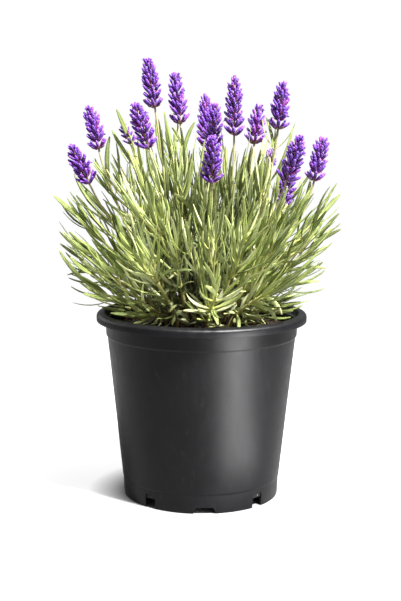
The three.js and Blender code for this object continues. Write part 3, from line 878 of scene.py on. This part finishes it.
def leaf_look():
    look = Look("leaf", Sheen_Weight=0.04, Sheen_Roughness=0.5, Specular_IOR_Level=0.12)
    along, draw, wide, top = look.tone()
    look.start(draw, (0.0, (34, 46, 6)), (0.25, (76, 93, 28)), (0.5, (136, 150, 68)),
               (0.74, (192, 202, 122)), (1.0, (238, 242, 192)))
    streaks = look.noise(look.blade(0.05, 1.5, 1), 1.0, 3.0, 0.6)
    blotches = look.noise(look.spot(), 160.0, 4.0)
    look.wash((92, 112, 40), streaks, 0.3, 0.7, 0.0, 0.5)
    look.wash((198, 204, 118), blotches, 0.45, 0.75, 0.0, 0.35)
    look.wash((206, 206, 104), along, 0.0, 0.3, 0.6, 0.0)
    look.wash((214, 220, 150), wide, 0.05, 0.2, 0.45, 0.0)
    look.wash((198, 206, 140), wide, 0.8, 1.0, 0.0, 0.34)
    look.wash((160, 174, 118), top, 0.0, 1.0, 0.3, 0.0)
    dry_tip = look.multiply(look.fit(along, 0.86, 1.0, 0.0, 1.0), look.fit(draw, 0.55, 1.0, 0.0, 0.6))
    look.wash((168, 136, 80), dry_tip)
    # Painted shade: leaves deep inside the bush are darkened towards dark olive.
    look.wash((34, 44, 6), look.depth(), 0.34, 0.93, 0.94, 0.0)
    return look.finish(blotches, (0.3, 0.8, 0.5, 0.72), streaks, 0.12)


def stem_look(name, low, middle, high):
    look = Look(name, Sheen_Weight=0.06, Specular_IOR_Level=0.15)
    along, _, corner, _ = look.tone()
    look.start(along, (0.0, low), (0.1, low), (0.4, middle), (0.8, middle), (1.0, high))
    streaks = look.noise(look.blade(0.12, 2.2, 1), 1.0, 4.0, 0.6)
    patches = look.noise(look.spot(), 90.0)
    look.wash((168, 158, 112), streaks, 0.35, 0.7, 0.0, 0.5)
    look.wash((134, 106, 88), patches, 0.5, 0.72, 0.0, 0.55)
    look.wash((184, 184, 130), corner, 0.05, 0.18, 0.0, 0.35)
    # Painted shade: stems deep inside the bush are darkened.
    look.wash((60, 52, 28), look.depth(), 0.15, 0.5, 0.75, 0.0)
    return look.finish(streaks, (0.3, 0.7, 0.55, 0.8), streaks, 0.2)


def calyx_look():
    look = Look("calyx", Sheen_Weight=0.12, Sheen_Roughness=0.4, Specular_IOR_Level=0.14)
    along, draw, rib, _ = look.tone()
    look.start(along, (0.0, (168, 128, 96)), (0.08, (158, 76, 100)), (0.2, (104, 36, 104)),
               (0.5, (92, 32, 138)), (0.78, (120, 56, 190)), (1.0, (164, 112, 226)))
    hairs = look.noise(look.blade(0.5, 3.0, 1), 1.6, 4.0, 0.7)
    # Painted highlight: the calyx ribs are lightened.
    look.wash((136, 86, 204), rib, 0.2, 1.0, 0.0, 0.4)
    look.wash((36, 8, 64), draw, 0.0, 1.0, 0.55, 0.0)
    look.wash((172, 70, 146), draw, 0.86, 1.0, 0.0, 0.6)
    look.wash((156, 104, 196), hairs, 0.45, 0.8, 0.0, 0.35)
    return look.finish(hairs, (0.3, 0.8, 0.5, 0.85), hairs, 0.15)


def petal_look():
    look = Look("corolla", Sheen_Weight=0.12, Specular_IOR_Level=0.14)
    along, draw, _, _ = look.tone()
    look.start(draw, (0.0, (80, 28, 150)), (0.5, (122, 56, 190)), (1.0, (168, 108, 222)))
    veins = look.noise(look.blade(0.4, 4.0, 1), 1.5)
    look.wash((72, 24, 126), veins, 0.4, 0.75, 0.0, 0.5)
    look.wash((172, 120, 220), along, 0.6, 1.0, 0.0, 0.3)
    return look.finish(veins, (0.3, 0.8, 0.45, 0.7), veins, 0.08)


def bract_look():
    look = Look("bract", Sheen_Weight=0.2)
    along, draw, _, _ = look.tone()
    look.start(draw, (0.0, (150, 128, 84)), (0.45, (168, 110, 110)), (1.0, (176, 74, 140)))
    veins = look.noise(look.blade(0.3, 3.0, 1), 1.4)
    look.wash((112, 62, 90), veins, 0.4, 0.7, 0.0, 0.5)
    look.wash((112, 60, 140), along, 0.6, 1.0, 0.0, 0.6)
    return look.finish(veins, (0.3, 0.8, 0.6, 0.8), veins, 0.1)


def pot_look():
    look = Look("moulded_plastic", Specular_IOR_Level=0.14)
    grain = look.noise(look.spot(), 2600.0, 3.0, 0.6)
    haze = look.noise(look.spot(), 38.0, 3.0, 0.5)
    dust = look.noise(look.spot(1, 1, 0.35), 240.0, 4.0, 0.65)
    look.start(haze, (0.3, (10, 10, 12)), (0.7, (17, 17, 19)))
    look.wash((80, 78, 75), dust, 0.6, 0.85, 0.0, 0.18)
    return look.finish(dust, (0.3, 0.8, 0.36, 0.5), grain, 0.06)


def peat_look():
    look = Look("peat")
    place = look.spot()
    crumbs = look.node("TexVoronoi", {"Vector": place, "Scale": 420.0})["Distance"]
    fine = look.noise(place, 900.0, 5.0, 0.7)
    look.start(fine, (0.3, (30, 20, 15)), (0.55, (62, 44, 33)), (0.8, (104, 78, 58)))
    look.wash((38, 24, 18), look.noise(place, 70.0), 0.4, 0.7, 0.0, 0.6)
    look.wash((24, 16, 12), crumbs, 0.0, 0.5, 0.5, 0.0)
    # Painted shade: the peat fades to near black below 100 mm and is fully dark below 60 mm, where it lies
    # in the pot's shade behind the drainage notches.
    look.wash((9, 8, 7), look.node("SeparateXYZ", {0: place})["Z"], 0.06, 0.1, 1.0, 0.0)
    return look.finish(fine, (0.3, 0.8, 0.85, 1.0), fine, 0.6)


def bark_look():
    look = Look("bark")
    draw = look.tone()[1]
    look.start(draw, (0.0, (48, 30, 22)), (0.5, (96, 62, 42)), (1.0, (140, 100, 70)))
    grain = look.noise(look.spot(), 700.0, 5.0, 0.7)
    look.wash((44, 27, 20), grain, 0.4, 0.7, 0.0, 0.6)
    return look.finish(grain, (0.3, 0.8, 0.8, 1.0), grain, 0.3)


LEAF = leaf_look()
STALK_SKIN = stem_look("stalk_skin", (128, 110, 66), (160, 162, 96), (158, 140, 116))
SHOOT_SKIN = stem_look("shoot_skin", (132, 112, 64), (176, 180, 100), (176, 186, 108))
CALYX, COROLLA, BRACT = calyx_look(), petal_look(), bract_look()
PLASTIC, PEAT, BARK = pot_look(), peat_look(), bark_look()


# ---- pot
INNER_FOOT = WALL_FOOT_RADIUS - WALL - 0.4
NOTCH_REACH = 77
CORNER_SIZE = 0.55
POT_SIDES, PEAT_SIDES = 256, 180


def rounded(profile, size, steps=3):
    """A closed outline with its corners rounded, save those on the axis. A corner may give its own size."""
    points = [np.array(corner[:2], dtype=float) for corner in profile]
    out = []
    for i, spot in enumerate(points):
        if spot[0] == 0:
            out.append(spot)
            continue
        own = profile[i][2] if len(profile[i]) > 2 else size
        cut = []
        for other in (points[i - 1], points[(i + 1) % len(points)]):
            run = np.linalg.norm(other - spot)
            cut.append(spot + (other - spot) * (min(own, 0.45 * run) / run))
        for k in range(steps + 1):
            t = k / steps
            out.append((1 - t) ** 2 * cut[0] + 2 * t * (1 - t) * spot + t * t * cut[1])
    return out


def lathe(profile, sides):
    """Points, faces and marks of a profile turned round the axis; its first and last points lie on it."""
    angle = ring_angles(sides)
    rows = [columns(sides, radius * np.cos(angle), radius * np.sin(angle), z) for radius, z in profile[1:-1]]
    points = np.concatenate([*rows, [[0, 0, profile[0][1]], [0, 0, profile[-1][1]]]])
    return points, *tube_faces(len(rows), sides), columns(len(points), 0, 0, 0, 1)


def notch_block(kind, turn):
    """The block that cuts one drainage notch out of the base ring, its upper corners cut off."""
    bottom, top, height = kind["bottom"], kind["top"], kind["height"]
    angle = math.radians(NOTCH_START + turn - 90)
    outward, along = compass(angle), vec(-math.sin(angle), math.cos(angle), 0)
    corner, nick = 1.1, 0.3
    half = [(bottom / 2 + (bottom - top) / (2 * height), -1), (top / 2 + nick / 2, height - corner),
            (top / 2 - nick, height - nick), (top / 2 - corner, height)]
    outline = [(-half[0][0], -1)] + half + [(-x, z) for x, z in half[:0:-1]]
    points = [outward * reach + along * x + UP * z
              for reach in (kind["inner"], NOTCH_REACH) for x, z in outline]
    count = len(outline)
    faces = [list(range(count))[::-1], list(range(count, 2 * count))]
    faces += [[i, (i + 1) % count, count + (i + 1) % count, count + i] for i in range(count)]
    return points, faces


def build_pot():
    profile = [
        (0, FLOOR_BOTTOM), (BASE_RADIUS - WALL, FLOOR_BOTTOM), (BASE_RADIUS - WALL, 0), (BASE_RADIUS, 0),
        (BASE_RADIUS + 0.7, BASE_BAND_HEIGHT - 0.6), (WALL_FOOT_RADIUS, BASE_BAND_HEIGHT + 0.6),
        (WALL_TOP_RADIUS, 146), (SHOULDER_RADIUS, SHOULDER_HEIGHT), (SHOULDER_RADIUS + 0.9, LIP_BOTTOM + 4),
        (RIM_RADIUS - 1.7, LIP_BOTTOM + 4), (RIM_RADIUS - 1.5, LIP_BOTTOM), (RIM_RADIUS, LIP_BOTTOM),
        (RIM_RADIUS, RIM_EDGE_HEIGHT, RIM_ROUNDING), (MOUTH_RADIUS + 0.9, POT_HEIGHT),
        (MOUTH_RADIUS, POT_HEIGHT - 0.7), (MOUTH_RADIUS - 0.7, LIP_BOTTOM + 1),
        (MOUTH_RADIUS - 2.1, LIP_BOTTOM), (SHOULDER_RADIUS - WALL, SHOULDER_HEIGHT),
        (WALL_TOP_RADIUS - WALL, INNER_SHOULDER), (INNER_FOOT, FLOOR_TOP), (0, FLOOR_TOP),
    ]
    body = Body()
    points, quads, tris, tone = lathe(rounded(profile, CORNER_SIZE), POT_SIDES)
    body.add(points, quads, tris, tone, points)
    pot = body.build("pot_shell", [PLASTIC], "pot_plastic", ["pot"])
    points, faces = [], []
    for kind in (LOW_NOTCH, TALL_NOTCH):
        for turn in kind["turns"]:
            more, sides = notch_block(kind, turn)
            faces += [[i + len(points) for i in side] for side in sides]
            points += more
    mesh = bpy.data.meshes.new("notches")
    mesh.from_pydata([tuple(p * MM) for p in points], [], faces)
    cutter = place("notches", mesh)
    cut = pot.modifiers.new("cut", "BOOLEAN")
    cut.operation, cut.solver, cut.object = "DIFFERENCE", "EXACT", cutter
    bpy.context.view_layer.update()
    pot_shape = bpy.data.meshes.new_from_object(pot.evaluated_get(bpy.context.evaluated_depsgraph_get()))
    pot.modifiers.remove(cut)
    pot.data = pot_shape
    bpy.data.objects.remove(cutter)
    pot_shape.polygons.foreach_set("use_smooth", np.full(len(pot_shape.polygons), True))
    pot_shape.set_sharp_from_angle(angle=math.radians(32))


# ---- peat
PEAT_RADIUS = 84.5
PEAT_RINGS = 58
UNSET = 1000  # stands for the heights of the peat's top until they are worked out
CHIPS = 1100


def peat_level(x, y):
    radius = math.hypot(x, y)
    level = np.interp(radius, [0, 30, 60, PEAT_RADIUS], [SOIL_CROWN, SOIL_CROWN, SOIL_EDGE + 3, SOIL_EDGE])
    waves = 0.8 * math.sin(0.16 * x + 1.3) * math.cos(0.13 * y + 0.4)
    return level + (waves + 0.5 * math.sin(0.31 * y - 0.22 * x))


def build_peat():
    side = GAP + 0.15
    edge = SHOULDER_RADIUS - WALL - side
    foot = FLOOR_TOP + GAP
    profile = [(0, foot), (INNER_FOOT - side, foot), (WALL_TOP_RADIUS - WALL - side, INNER_SHOULDER)]
    profile += [(radius, UNSET) for radius in [*np.linspace(edge, 4, PEAT_RINGS), 0]]
    points, quads, tris, tone = lathe(profile, PEAT_SIDES)
    for point in points:
        if point[2] == UNSET:
            x, y = point[0], point[1]
            rough = noise.fractal(Vector((x * 0.11, y * 0.11, 3)), 0.8, 2.1, 5)
            lumps = noise.fractal(Vector((x * 0.035, y * 0.035, 9)), 1.0, 2.0, 2)
            fade = min(1, (edge - math.hypot(x, y)) / 3 + 0.2)
            point[2] = peat_level(x, y) + (1.3 * rough + 1.2 * lumps) * fade
    body = Body()
    body.add(points, quads, tris, tone, points)
    body.build("peat_bed", [PEAT], "peat", ["soil"])


def pebble(rows=5, sides=7):
    """A unit ball's points and faces, to be squashed into chips."""
    angle = ring_angles(sides)
    lifts = [math.pi * k / rows for k in range(1, rows)]
    points = [columns(sides, math.sin(lift) * np.cos(angle), math.sin(lift) * np.sin(angle), math.cos(lift))
              for lift in lifts]
    return np.concatenate([*points, [UP, -UP]]), *tube_faces(rows - 1, sides)


def build_chips():
    ball, quads, tris = pebble()
    chips = Body()
    for i in range(CHIPS):
        radius, angle = PEAT_RADIUS * math.sqrt(rng.uniform()), rng.uniform(0, 2 * math.pi)
        x, y = radius * math.cos(angle), radius * math.sin(angle)
        large = i % 5 == 0
        long = rng.uniform(3.0, 7.5) if large else rng.uniform(0.9, 2.4)
        size = vec(long, long * rng.uniform(0.35, 0.75), long * rng.uniform(0.15, 0.45)) * 0.5
        if radius > 80 and large:
            continue
        shape = ball * (1 + rng.uniform(-0.28, 0.28, (len(ball), 1))) * size
        turn = Matrix.Rotation(rng.uniform(0, 6.3), 3, "Z") @ Matrix.Rotation(rng.uniform(-0.7, 0.7), 3, "X")
        shape = shape @ np.array(turn).T + vec(x, y, peat_level(x, y) + rng.uniform(0.2, 1.3))
        chips.add(shape, quads, tris, np.full((len(ball), 4), rng.uniform()), shape)
    chips.build("bark_chips", [BARK], "peat", smooth=False)


# ---- flower heads
CALYX_RINGS = [(0, 0.4), (0.7, 0.78), (2.2, 1.06), (4.4, 1.18), (6.4, 1.16), (7.3, 1.05), (7.0, 0.78)]
BUD_RINGS = [(6.9, 0.7), (7.6, 0.86), (8.5, 0.84), (9.2, 0.5)]
FLORET_SPAN = 9.5
FLORET_SIDES = 8
FLORET_LENGTH = 11.3
FLORET_DROOP = 0.010
CALYX_TEETH = 5
OPEN_SHARE = 0.08
ROW_PITCH = 5.7
SHORT_HEAD = 25


def floret_form(rings, end, ribbed):
    """A calyx with ribs and a toothed mouth, or a closed corolla of four lobes, along z."""
    angle = ring_angles(FLORET_SIDES)
    even = (np.arange(FLORET_SIDES) % 2 == 0).astype(float)
    lobes, rib = (0.84 + 0.2 * even, even) if ribbed else (1 + 0.14 * np.cos(4 * angle), 0.5 * even)
    points, tone = [], []
    for i, (z, radius) in enumerate(rings):
        reach = radius * lobes
        rise = z + (0.45 * even - 0.1 if ribbed and i == CALYX_TEETH else 0 * even)
        points.append(columns(FLORET_SIDES, reach * np.cos(angle), reach * np.sin(angle), rise))
        tone.append(columns(FLORET_SIDES, rise / FLORET_SPAN, 0, rib, 0))
    for z in (rings[0][0], end):
        points.append([[0, 0, z]])
        tone.append([[z / FLORET_SPAN, 0, 0, 0]])
    return np.concatenate(points), *tube_faces(len(rings), FLORET_SIDES), np.concatenate(tone)


CALYX_FORM = floret_form(CALYX_RINGS, 6.6, True)
BUD_FORM = floret_form(BUD_RINGS, FLORET_SPAN, False)


def add_floret(body, spot, axis, out, scale, draws, girth):
    """A calyx and the closed corolla in it, bending over a little."""
    side = cross(axis, out)
    for look, (form, draw) in enumerate(zip((CALYX_FORM, BUD_FORM), draws)):
        points, quads, tris, tone = form
        local = points * scale * vec(girth, girth, 1)
        bend = -FLORET_DROOP * (points[:, 2] * scale) ** 2
        shape = spot + (local[:, :1] + bend[:, None]) * out + local[:, 1:2] * side + local[:, 2:] * axis
        tone = tone.copy()
        tone[:, 1] = draw
        blade = columns(len(points), points[:, 2], np.arctan2(points[:, 1], points[:, 0]), draw * 300)
        body.add(shape, quads, tris, tone, blade, look)


def open_petals(spot, way, out, scale):
    """Four petals spread from a floret's mouth."""
    petals = []
    for k in range(4):
        away = swing(out, cross(way, out), k * math.pi / 2 + 0.4)
        petal = leaf_path(spot + way * (7.6 * scale), way, away, 2.4 * scale, math.radians(55), 18, 0)
        petals.append({**petal, "width": 1.6 * scale, "tone": rng.uniform(), "twist": 0.0})
    return petals


def build_head(number, foot, axis, length, side, out):
    """A spike of florets in rows round a slim axis, with papery bracts and a tuft of buds at its tip."""
    young = 0.72 if length < SHORT_HEAD else 1.0
    body, petals, bracts = Body(), [], []
    curve = [foot + axis * run for run in (-GAP, 0.3 * length, 0.6 * length, length - 5)]
    azimuth = math.atan2(axis[1], axis[0])
    add_stem(body, {"curve": curve, "azimuth": azimuth, "half": young, "tip_half": 0.6 * young}, 3, 8, 8)
    rows = max(4, round(length / ROW_PITCH))
    for row in range(rows):
        share = row / (rows - 1)
        at = length * (0.02 + (0.80 * share ** 0.88 if row else 0))
        size = young * (1.0 - 0.06 * share - 0.3 * share ** 4)
        spread = 56 if row == 0 else 51 - 6 * share - 16 * share ** 4
        core = CORE_RADIUS * young * (1.42 - 0.45 * share)
        is_low = row < rows - 2
        count = 8 if is_low and young == 1 else 6
        for k in range(count):
            turn = 2 * math.pi * (k + 0.5 * (row % 2)) / count + rng.uniform(-0.14, 0.14)
            lean = math.radians(spread + rng.uniform(-11, 6))
            level = swing(out, side, turn)
            way, outward = swing(axis, level, lean), swing(level, -axis, lean)
            spot = foot + axis * (at + rng.uniform(-0.6, 0.8)) + level * (core * 0.4)
            scale = FLORET_LENGTH * size * rng.uniform(0.85, 1.08) / FLORET_SPAN
            draw = rng.uniform()
            girth = rng.uniform(0.92, 1.1) * (0.86 + 0.14 / size)
            add_floret(body, spot, way, outward, scale, (draw, rng.uniform()), girth)
            if rng.uniform() < OPEN_SHARE:
                petals += open_petals(spot, way, outward, scale)
        for k in range(5 if is_low else 1):
            level = swing(out, side, rng.uniform(0, 2 * math.pi))
            spot = foot + axis * (at - 0.3) + level * 0.6
            bract = leaf_path(spot, axis, level, 6.2 * size, math.radians(spread + 12), 12, 0)
            pink = rng.uniform(0.5, 1.0) if row in (1, 2, 3) else rng.uniform(0, 0.6)
            bracts.append({**bract, "width": 3.1 * size, "tone": pink, "twist": 0.0})
    for k in range(3):
        level = swing(out, side, 2.1 * k)
        way = unit(axis + level * 0.14)
        spot = foot + axis * (length - 8.6 * young) + level * 0.5
        outward = unit(level - way * level.dot(way))
        add_floret(body, spot, way, outward, 0.9 * 0.92 * young, (rng.uniform(), rng.uniform()), 0.9)
    add_blades(body, petals, PLAIN, PETAL_FORM, 1, 0.28, 0.1, 0.0)
    add_blades(body, bracts, PLAIN, PETAL_FORM, 2, 0.3, 0.3, 0.0)
    looks = [CALYX, COROLLA, BRACT, STALK_SKIN]
    body.build(f"lavender_spike_{number:02d}", looks, "flower", [f"flower_head_{number:02d}"])


# ---- put it together
KNOTS = (0.18, 0.35, 0.52)


def claim_heads():
    """Keep the heads' own room clear, and a way to see them from the front."""
    for foot, along, length, _, _ in HEAD_FRAMES:
        line = np.array([foot + along * s for s in np.arange(-2, length + 3, 1.0)])
        for radius in (2, 5, 8, 9.5):
            occupy(round_samples(line, radius))
        for k in range(1, 9):
            for radius in (0, 3, 6):
                occupy(round_samples(line + vec(0, -6 * k, k), radius))


def claim_stems():
    """Keep clear the CAD's stems and leaves, and give the leaves a width, and at the sides a darker tone as
    painted shade.
    """
    for stem in stalks + shoots:
        occupy(round_samples(curve_line(stem["curve"]), stem["half"]))
        for leaf in stem["leaves"]:
            leaf["width"] = rng.uniform(3.5, 4.4)
            # Painted shade: leaves far out at the left and right get a darker tone.
            if abs(leaf["tip"][0]) > SIDE_REACH:
                leaf["tone"] = rng.uniform(0.02, 0.5)
            occupy(leaf_samples(leaf))


def grow_foliage():
    """The long leaves as listed, the side twigs, and more leaves wherever there is room."""
    for kind, index, at, tip, width, tone in LONG_LEAVES:
        stem = (stalks if kind == "stalk" else shoots)[index]
        stem["leaves"].append(long_leaf(stem, at, vec(*tip), width, tone))
    twigs = []
    for stems, places, reach in ((shoots, (0.05, 0.6, 4), (38, 72)), (stalks, (0.04, 0.5, 3), (42, 85))):
        for stem in stems:
            for at in rng.uniform(*places):
                twigs.append(side_twig(stem, at, rng.uniform(*reach)))
    twigs = [twig for twig in twigs if twig]
    for stem in shoots:
        add_leaves(stem, [0.99, 0.95, 0.9], 42, 22, 3.0)
    for twig in twigs:
        add_leaves(twig, [0.99, 0.96, 0.82, 0.62, 0.42, 0.22], 44, 32, 3.0)
    for stem in shoots:
        add_leaves(stem, np.arange(0.2, 0.88, 0.09), 54, 36, 3.2)
    for stem in stalks:
        add_leaves(stem, np.arange(0.2, 0.78, 0.09), 56, 32, 3.0)
    for stem in shoots + stalks:
        add_leaves(stem, [0.04, 0.08, 0.12, 0.17, 0.23, 0.3], 28, 62, 5.0, (-26, 26), 0.0, 0.95, 2.2)
        add_leaves(stem, [0.06, 0.1, 0.145, 0.2, 0.26, 0.34], 26, 70, 4.4, (-26, 26), 0.0, 0.95, 2.6)
    return twigs


def dress_stems(stems, name, slot, node, skin):
    for number, stem in enumerate(stems, 1):
        body = Body()
        add_stem(body, stem, 1, 34, 12, KNOTS)
        add_blades(body, stem["leaves"])
        add_blades(body, stem["more"], PLAIN)
        body.build(f"{name}_{number:02d}", [LEAF, skin], slot, [f"{node}_{number:02d}"])


def dress_twigs(twigs, groups=8):
    for group in range(groups):
        body = Body()
        for twig in twigs[group::groups]:
            add_stem(body, twig, 1, 12, 8)
            add_blades(body, twig["more"], PLAIN)
        body.build(f"side_twigs_{group + 1}", [LEAF, SHOOT_SKIN], "foliage")


claim_heads()
claim_stems()
twigs = grow_foliage()
dress_stems(stalks, "flower_stalk", "flower_stalk", "flower_stem", STALK_SKIN)
dress_stems(shoots, "leafy_branch", "foliage", "leafy_shoot", SHOOT_SKIN)
for number, head in enumerate(HEAD_FRAMES, 1):
    build_head(number, *head)
dress_twigs(twigs)
build_pot()
build_peat()
build_chips()


# ---- floor and light
FADE_NEAR, FADE_FAR = 0.5, 1.1
GLOW_NEAR, GLOW_FAR, GLOW = 0.071, 0.105, 0.79
WORLD_STRENGTH = 0.29
SUNS = [  # name, azimuth, elevation, spread in degrees and strength
    ("key", -44, 55, 7, 14.3),
    ("overhead", -4, 58, 50, 2.0),
    ("behind", 140, 32, 60, 1.5),
]


def build_floor(half=4):
    """White paper that fades out far from the pot, and glows for the camera beyond the pot's own shadow."""
    mesh = bpy.data.meshes.new("floor")
    corners = [(-half, -half, 0), (half, -half, 0), (half, half, 0), (-half, half, 0)]
    mesh.from_pydata(corners, [], [(0, 1, 2, 3)])
    floor = place("floor", mesh)
    paper = Look("paper", Roughness=0.9, Emission_Color=WHITE)
    paper.start(paper.noise(paper.spot(), 6.0, 2.0), (0.3, (134.4,) * 3), (0.7, (139.4,) * 3))
    paper.wire(paper.base, "Base Color")
    far = paper.node("VectorMath", {0: paper.spot()}, operation="LENGTH")["Value"]
    clear = paper.node("BsdfTransparent")[0]
    share = paper.fit(far, FADE_NEAR, FADE_FAR, 0.0, 1.0)
    fade = paper.node("MixShader", {0: share, 1: paper.shader.outputs[0], 2: clear})[0]
    paper.tree.links.new(fade, paper.tree.nodes["Material Output"].inputs["Surface"])
    seen = paper.node("LightPath")["Is Camera Ray"]
    glow = paper.multiply(seen, paper.fit(far, GLOW_NEAR, GLOW_FAR, 0.0, GLOW))
    paper.wire(glow, "Emission Strength")
    mesh.materials.append(paper.material)


def add_light(name, kind, way, spot=(0, 0, 0), **settings):
    """A light that shines from a direction."""
    data = bpy.data.lights.new(name, kind)
    for key, value in settings.items():
        setattr(data, key, value)
    light = place(name, data)
    light.location = spot
    light.rotation_euler = way.to_track_quat("Z", "Y").to_euler()
    return light


def direction(azimuth, elevation):
    level, turn = math.cos(math.radians(elevation)), math.radians(azimuth)
    return Vector((math.cos(turn) * level, math.sin(turn) * level, math.sin(math.radians(elevation))))


def area_light(name, azimuth, elevation, distance, size, power, target):
    """A soft light that is seen only in gloss."""
    way = direction(azimuth, elevation)
    light = add_light(name, "AREA", way, Vector(target) + way * distance,
                      shape="RECTANGLE", size=size[0], size_y=size[1], energy=power)
    light.visible_diffuse = False
    return light


def floor_card(name, azimuth, near, far, width, power):
    """A glowing strip lying on the floor beside the pot, seen only as a reflection."""
    card = area_light(name, azimuth, 0, 0.5 * (near + far), (width, far - near), power, (0, 0, 0.003))
    card.rotation_euler = (math.pi, 0, math.radians(azimuth) - math.pi / 2)
    card.visible_camera = False


def light_world(strength):
    """White for the camera, and dimmer as light."""
    world = bpy.data.worlds.new("studio")
    scene.world = world
    world.use_nodes = True
    tree = world.node_tree
    back = tree.nodes["Background"]
    back.inputs[0].default_value, back.inputs[1].default_value = WHITE, strength
    seen = add_node(tree, "Background", {0: WHITE, 1: 1.0})
    eye = add_node(tree, "LightPath").outputs["Is Camera Ray"]
    either = add_node(tree, "MixShader", {0: eye, 1: back.outputs[0], 2: seen.outputs[0]})
    tree.links.new(either.outputs[0], tree.nodes["World Output"].inputs["Surface"])


build_floor()
for name, azimuth, elevation, spread, strength in SUNS:
    add_light(name, "SUN", direction(azimuth, elevation), angle=math.radians(spread), energy=strength)
floor_card("card", -47, 0.13, 0.56, 0.12, 2.7)
area_light("strip", -53, -3, 0.37, (0.14, 0.17), 2.8, (0, 0, 0.105))
area_light("spark", -50, 62, 0.7, (0.4, 0.3), 45, (0, 0, 0.168))
light_world(WORLD_STRENGTH)
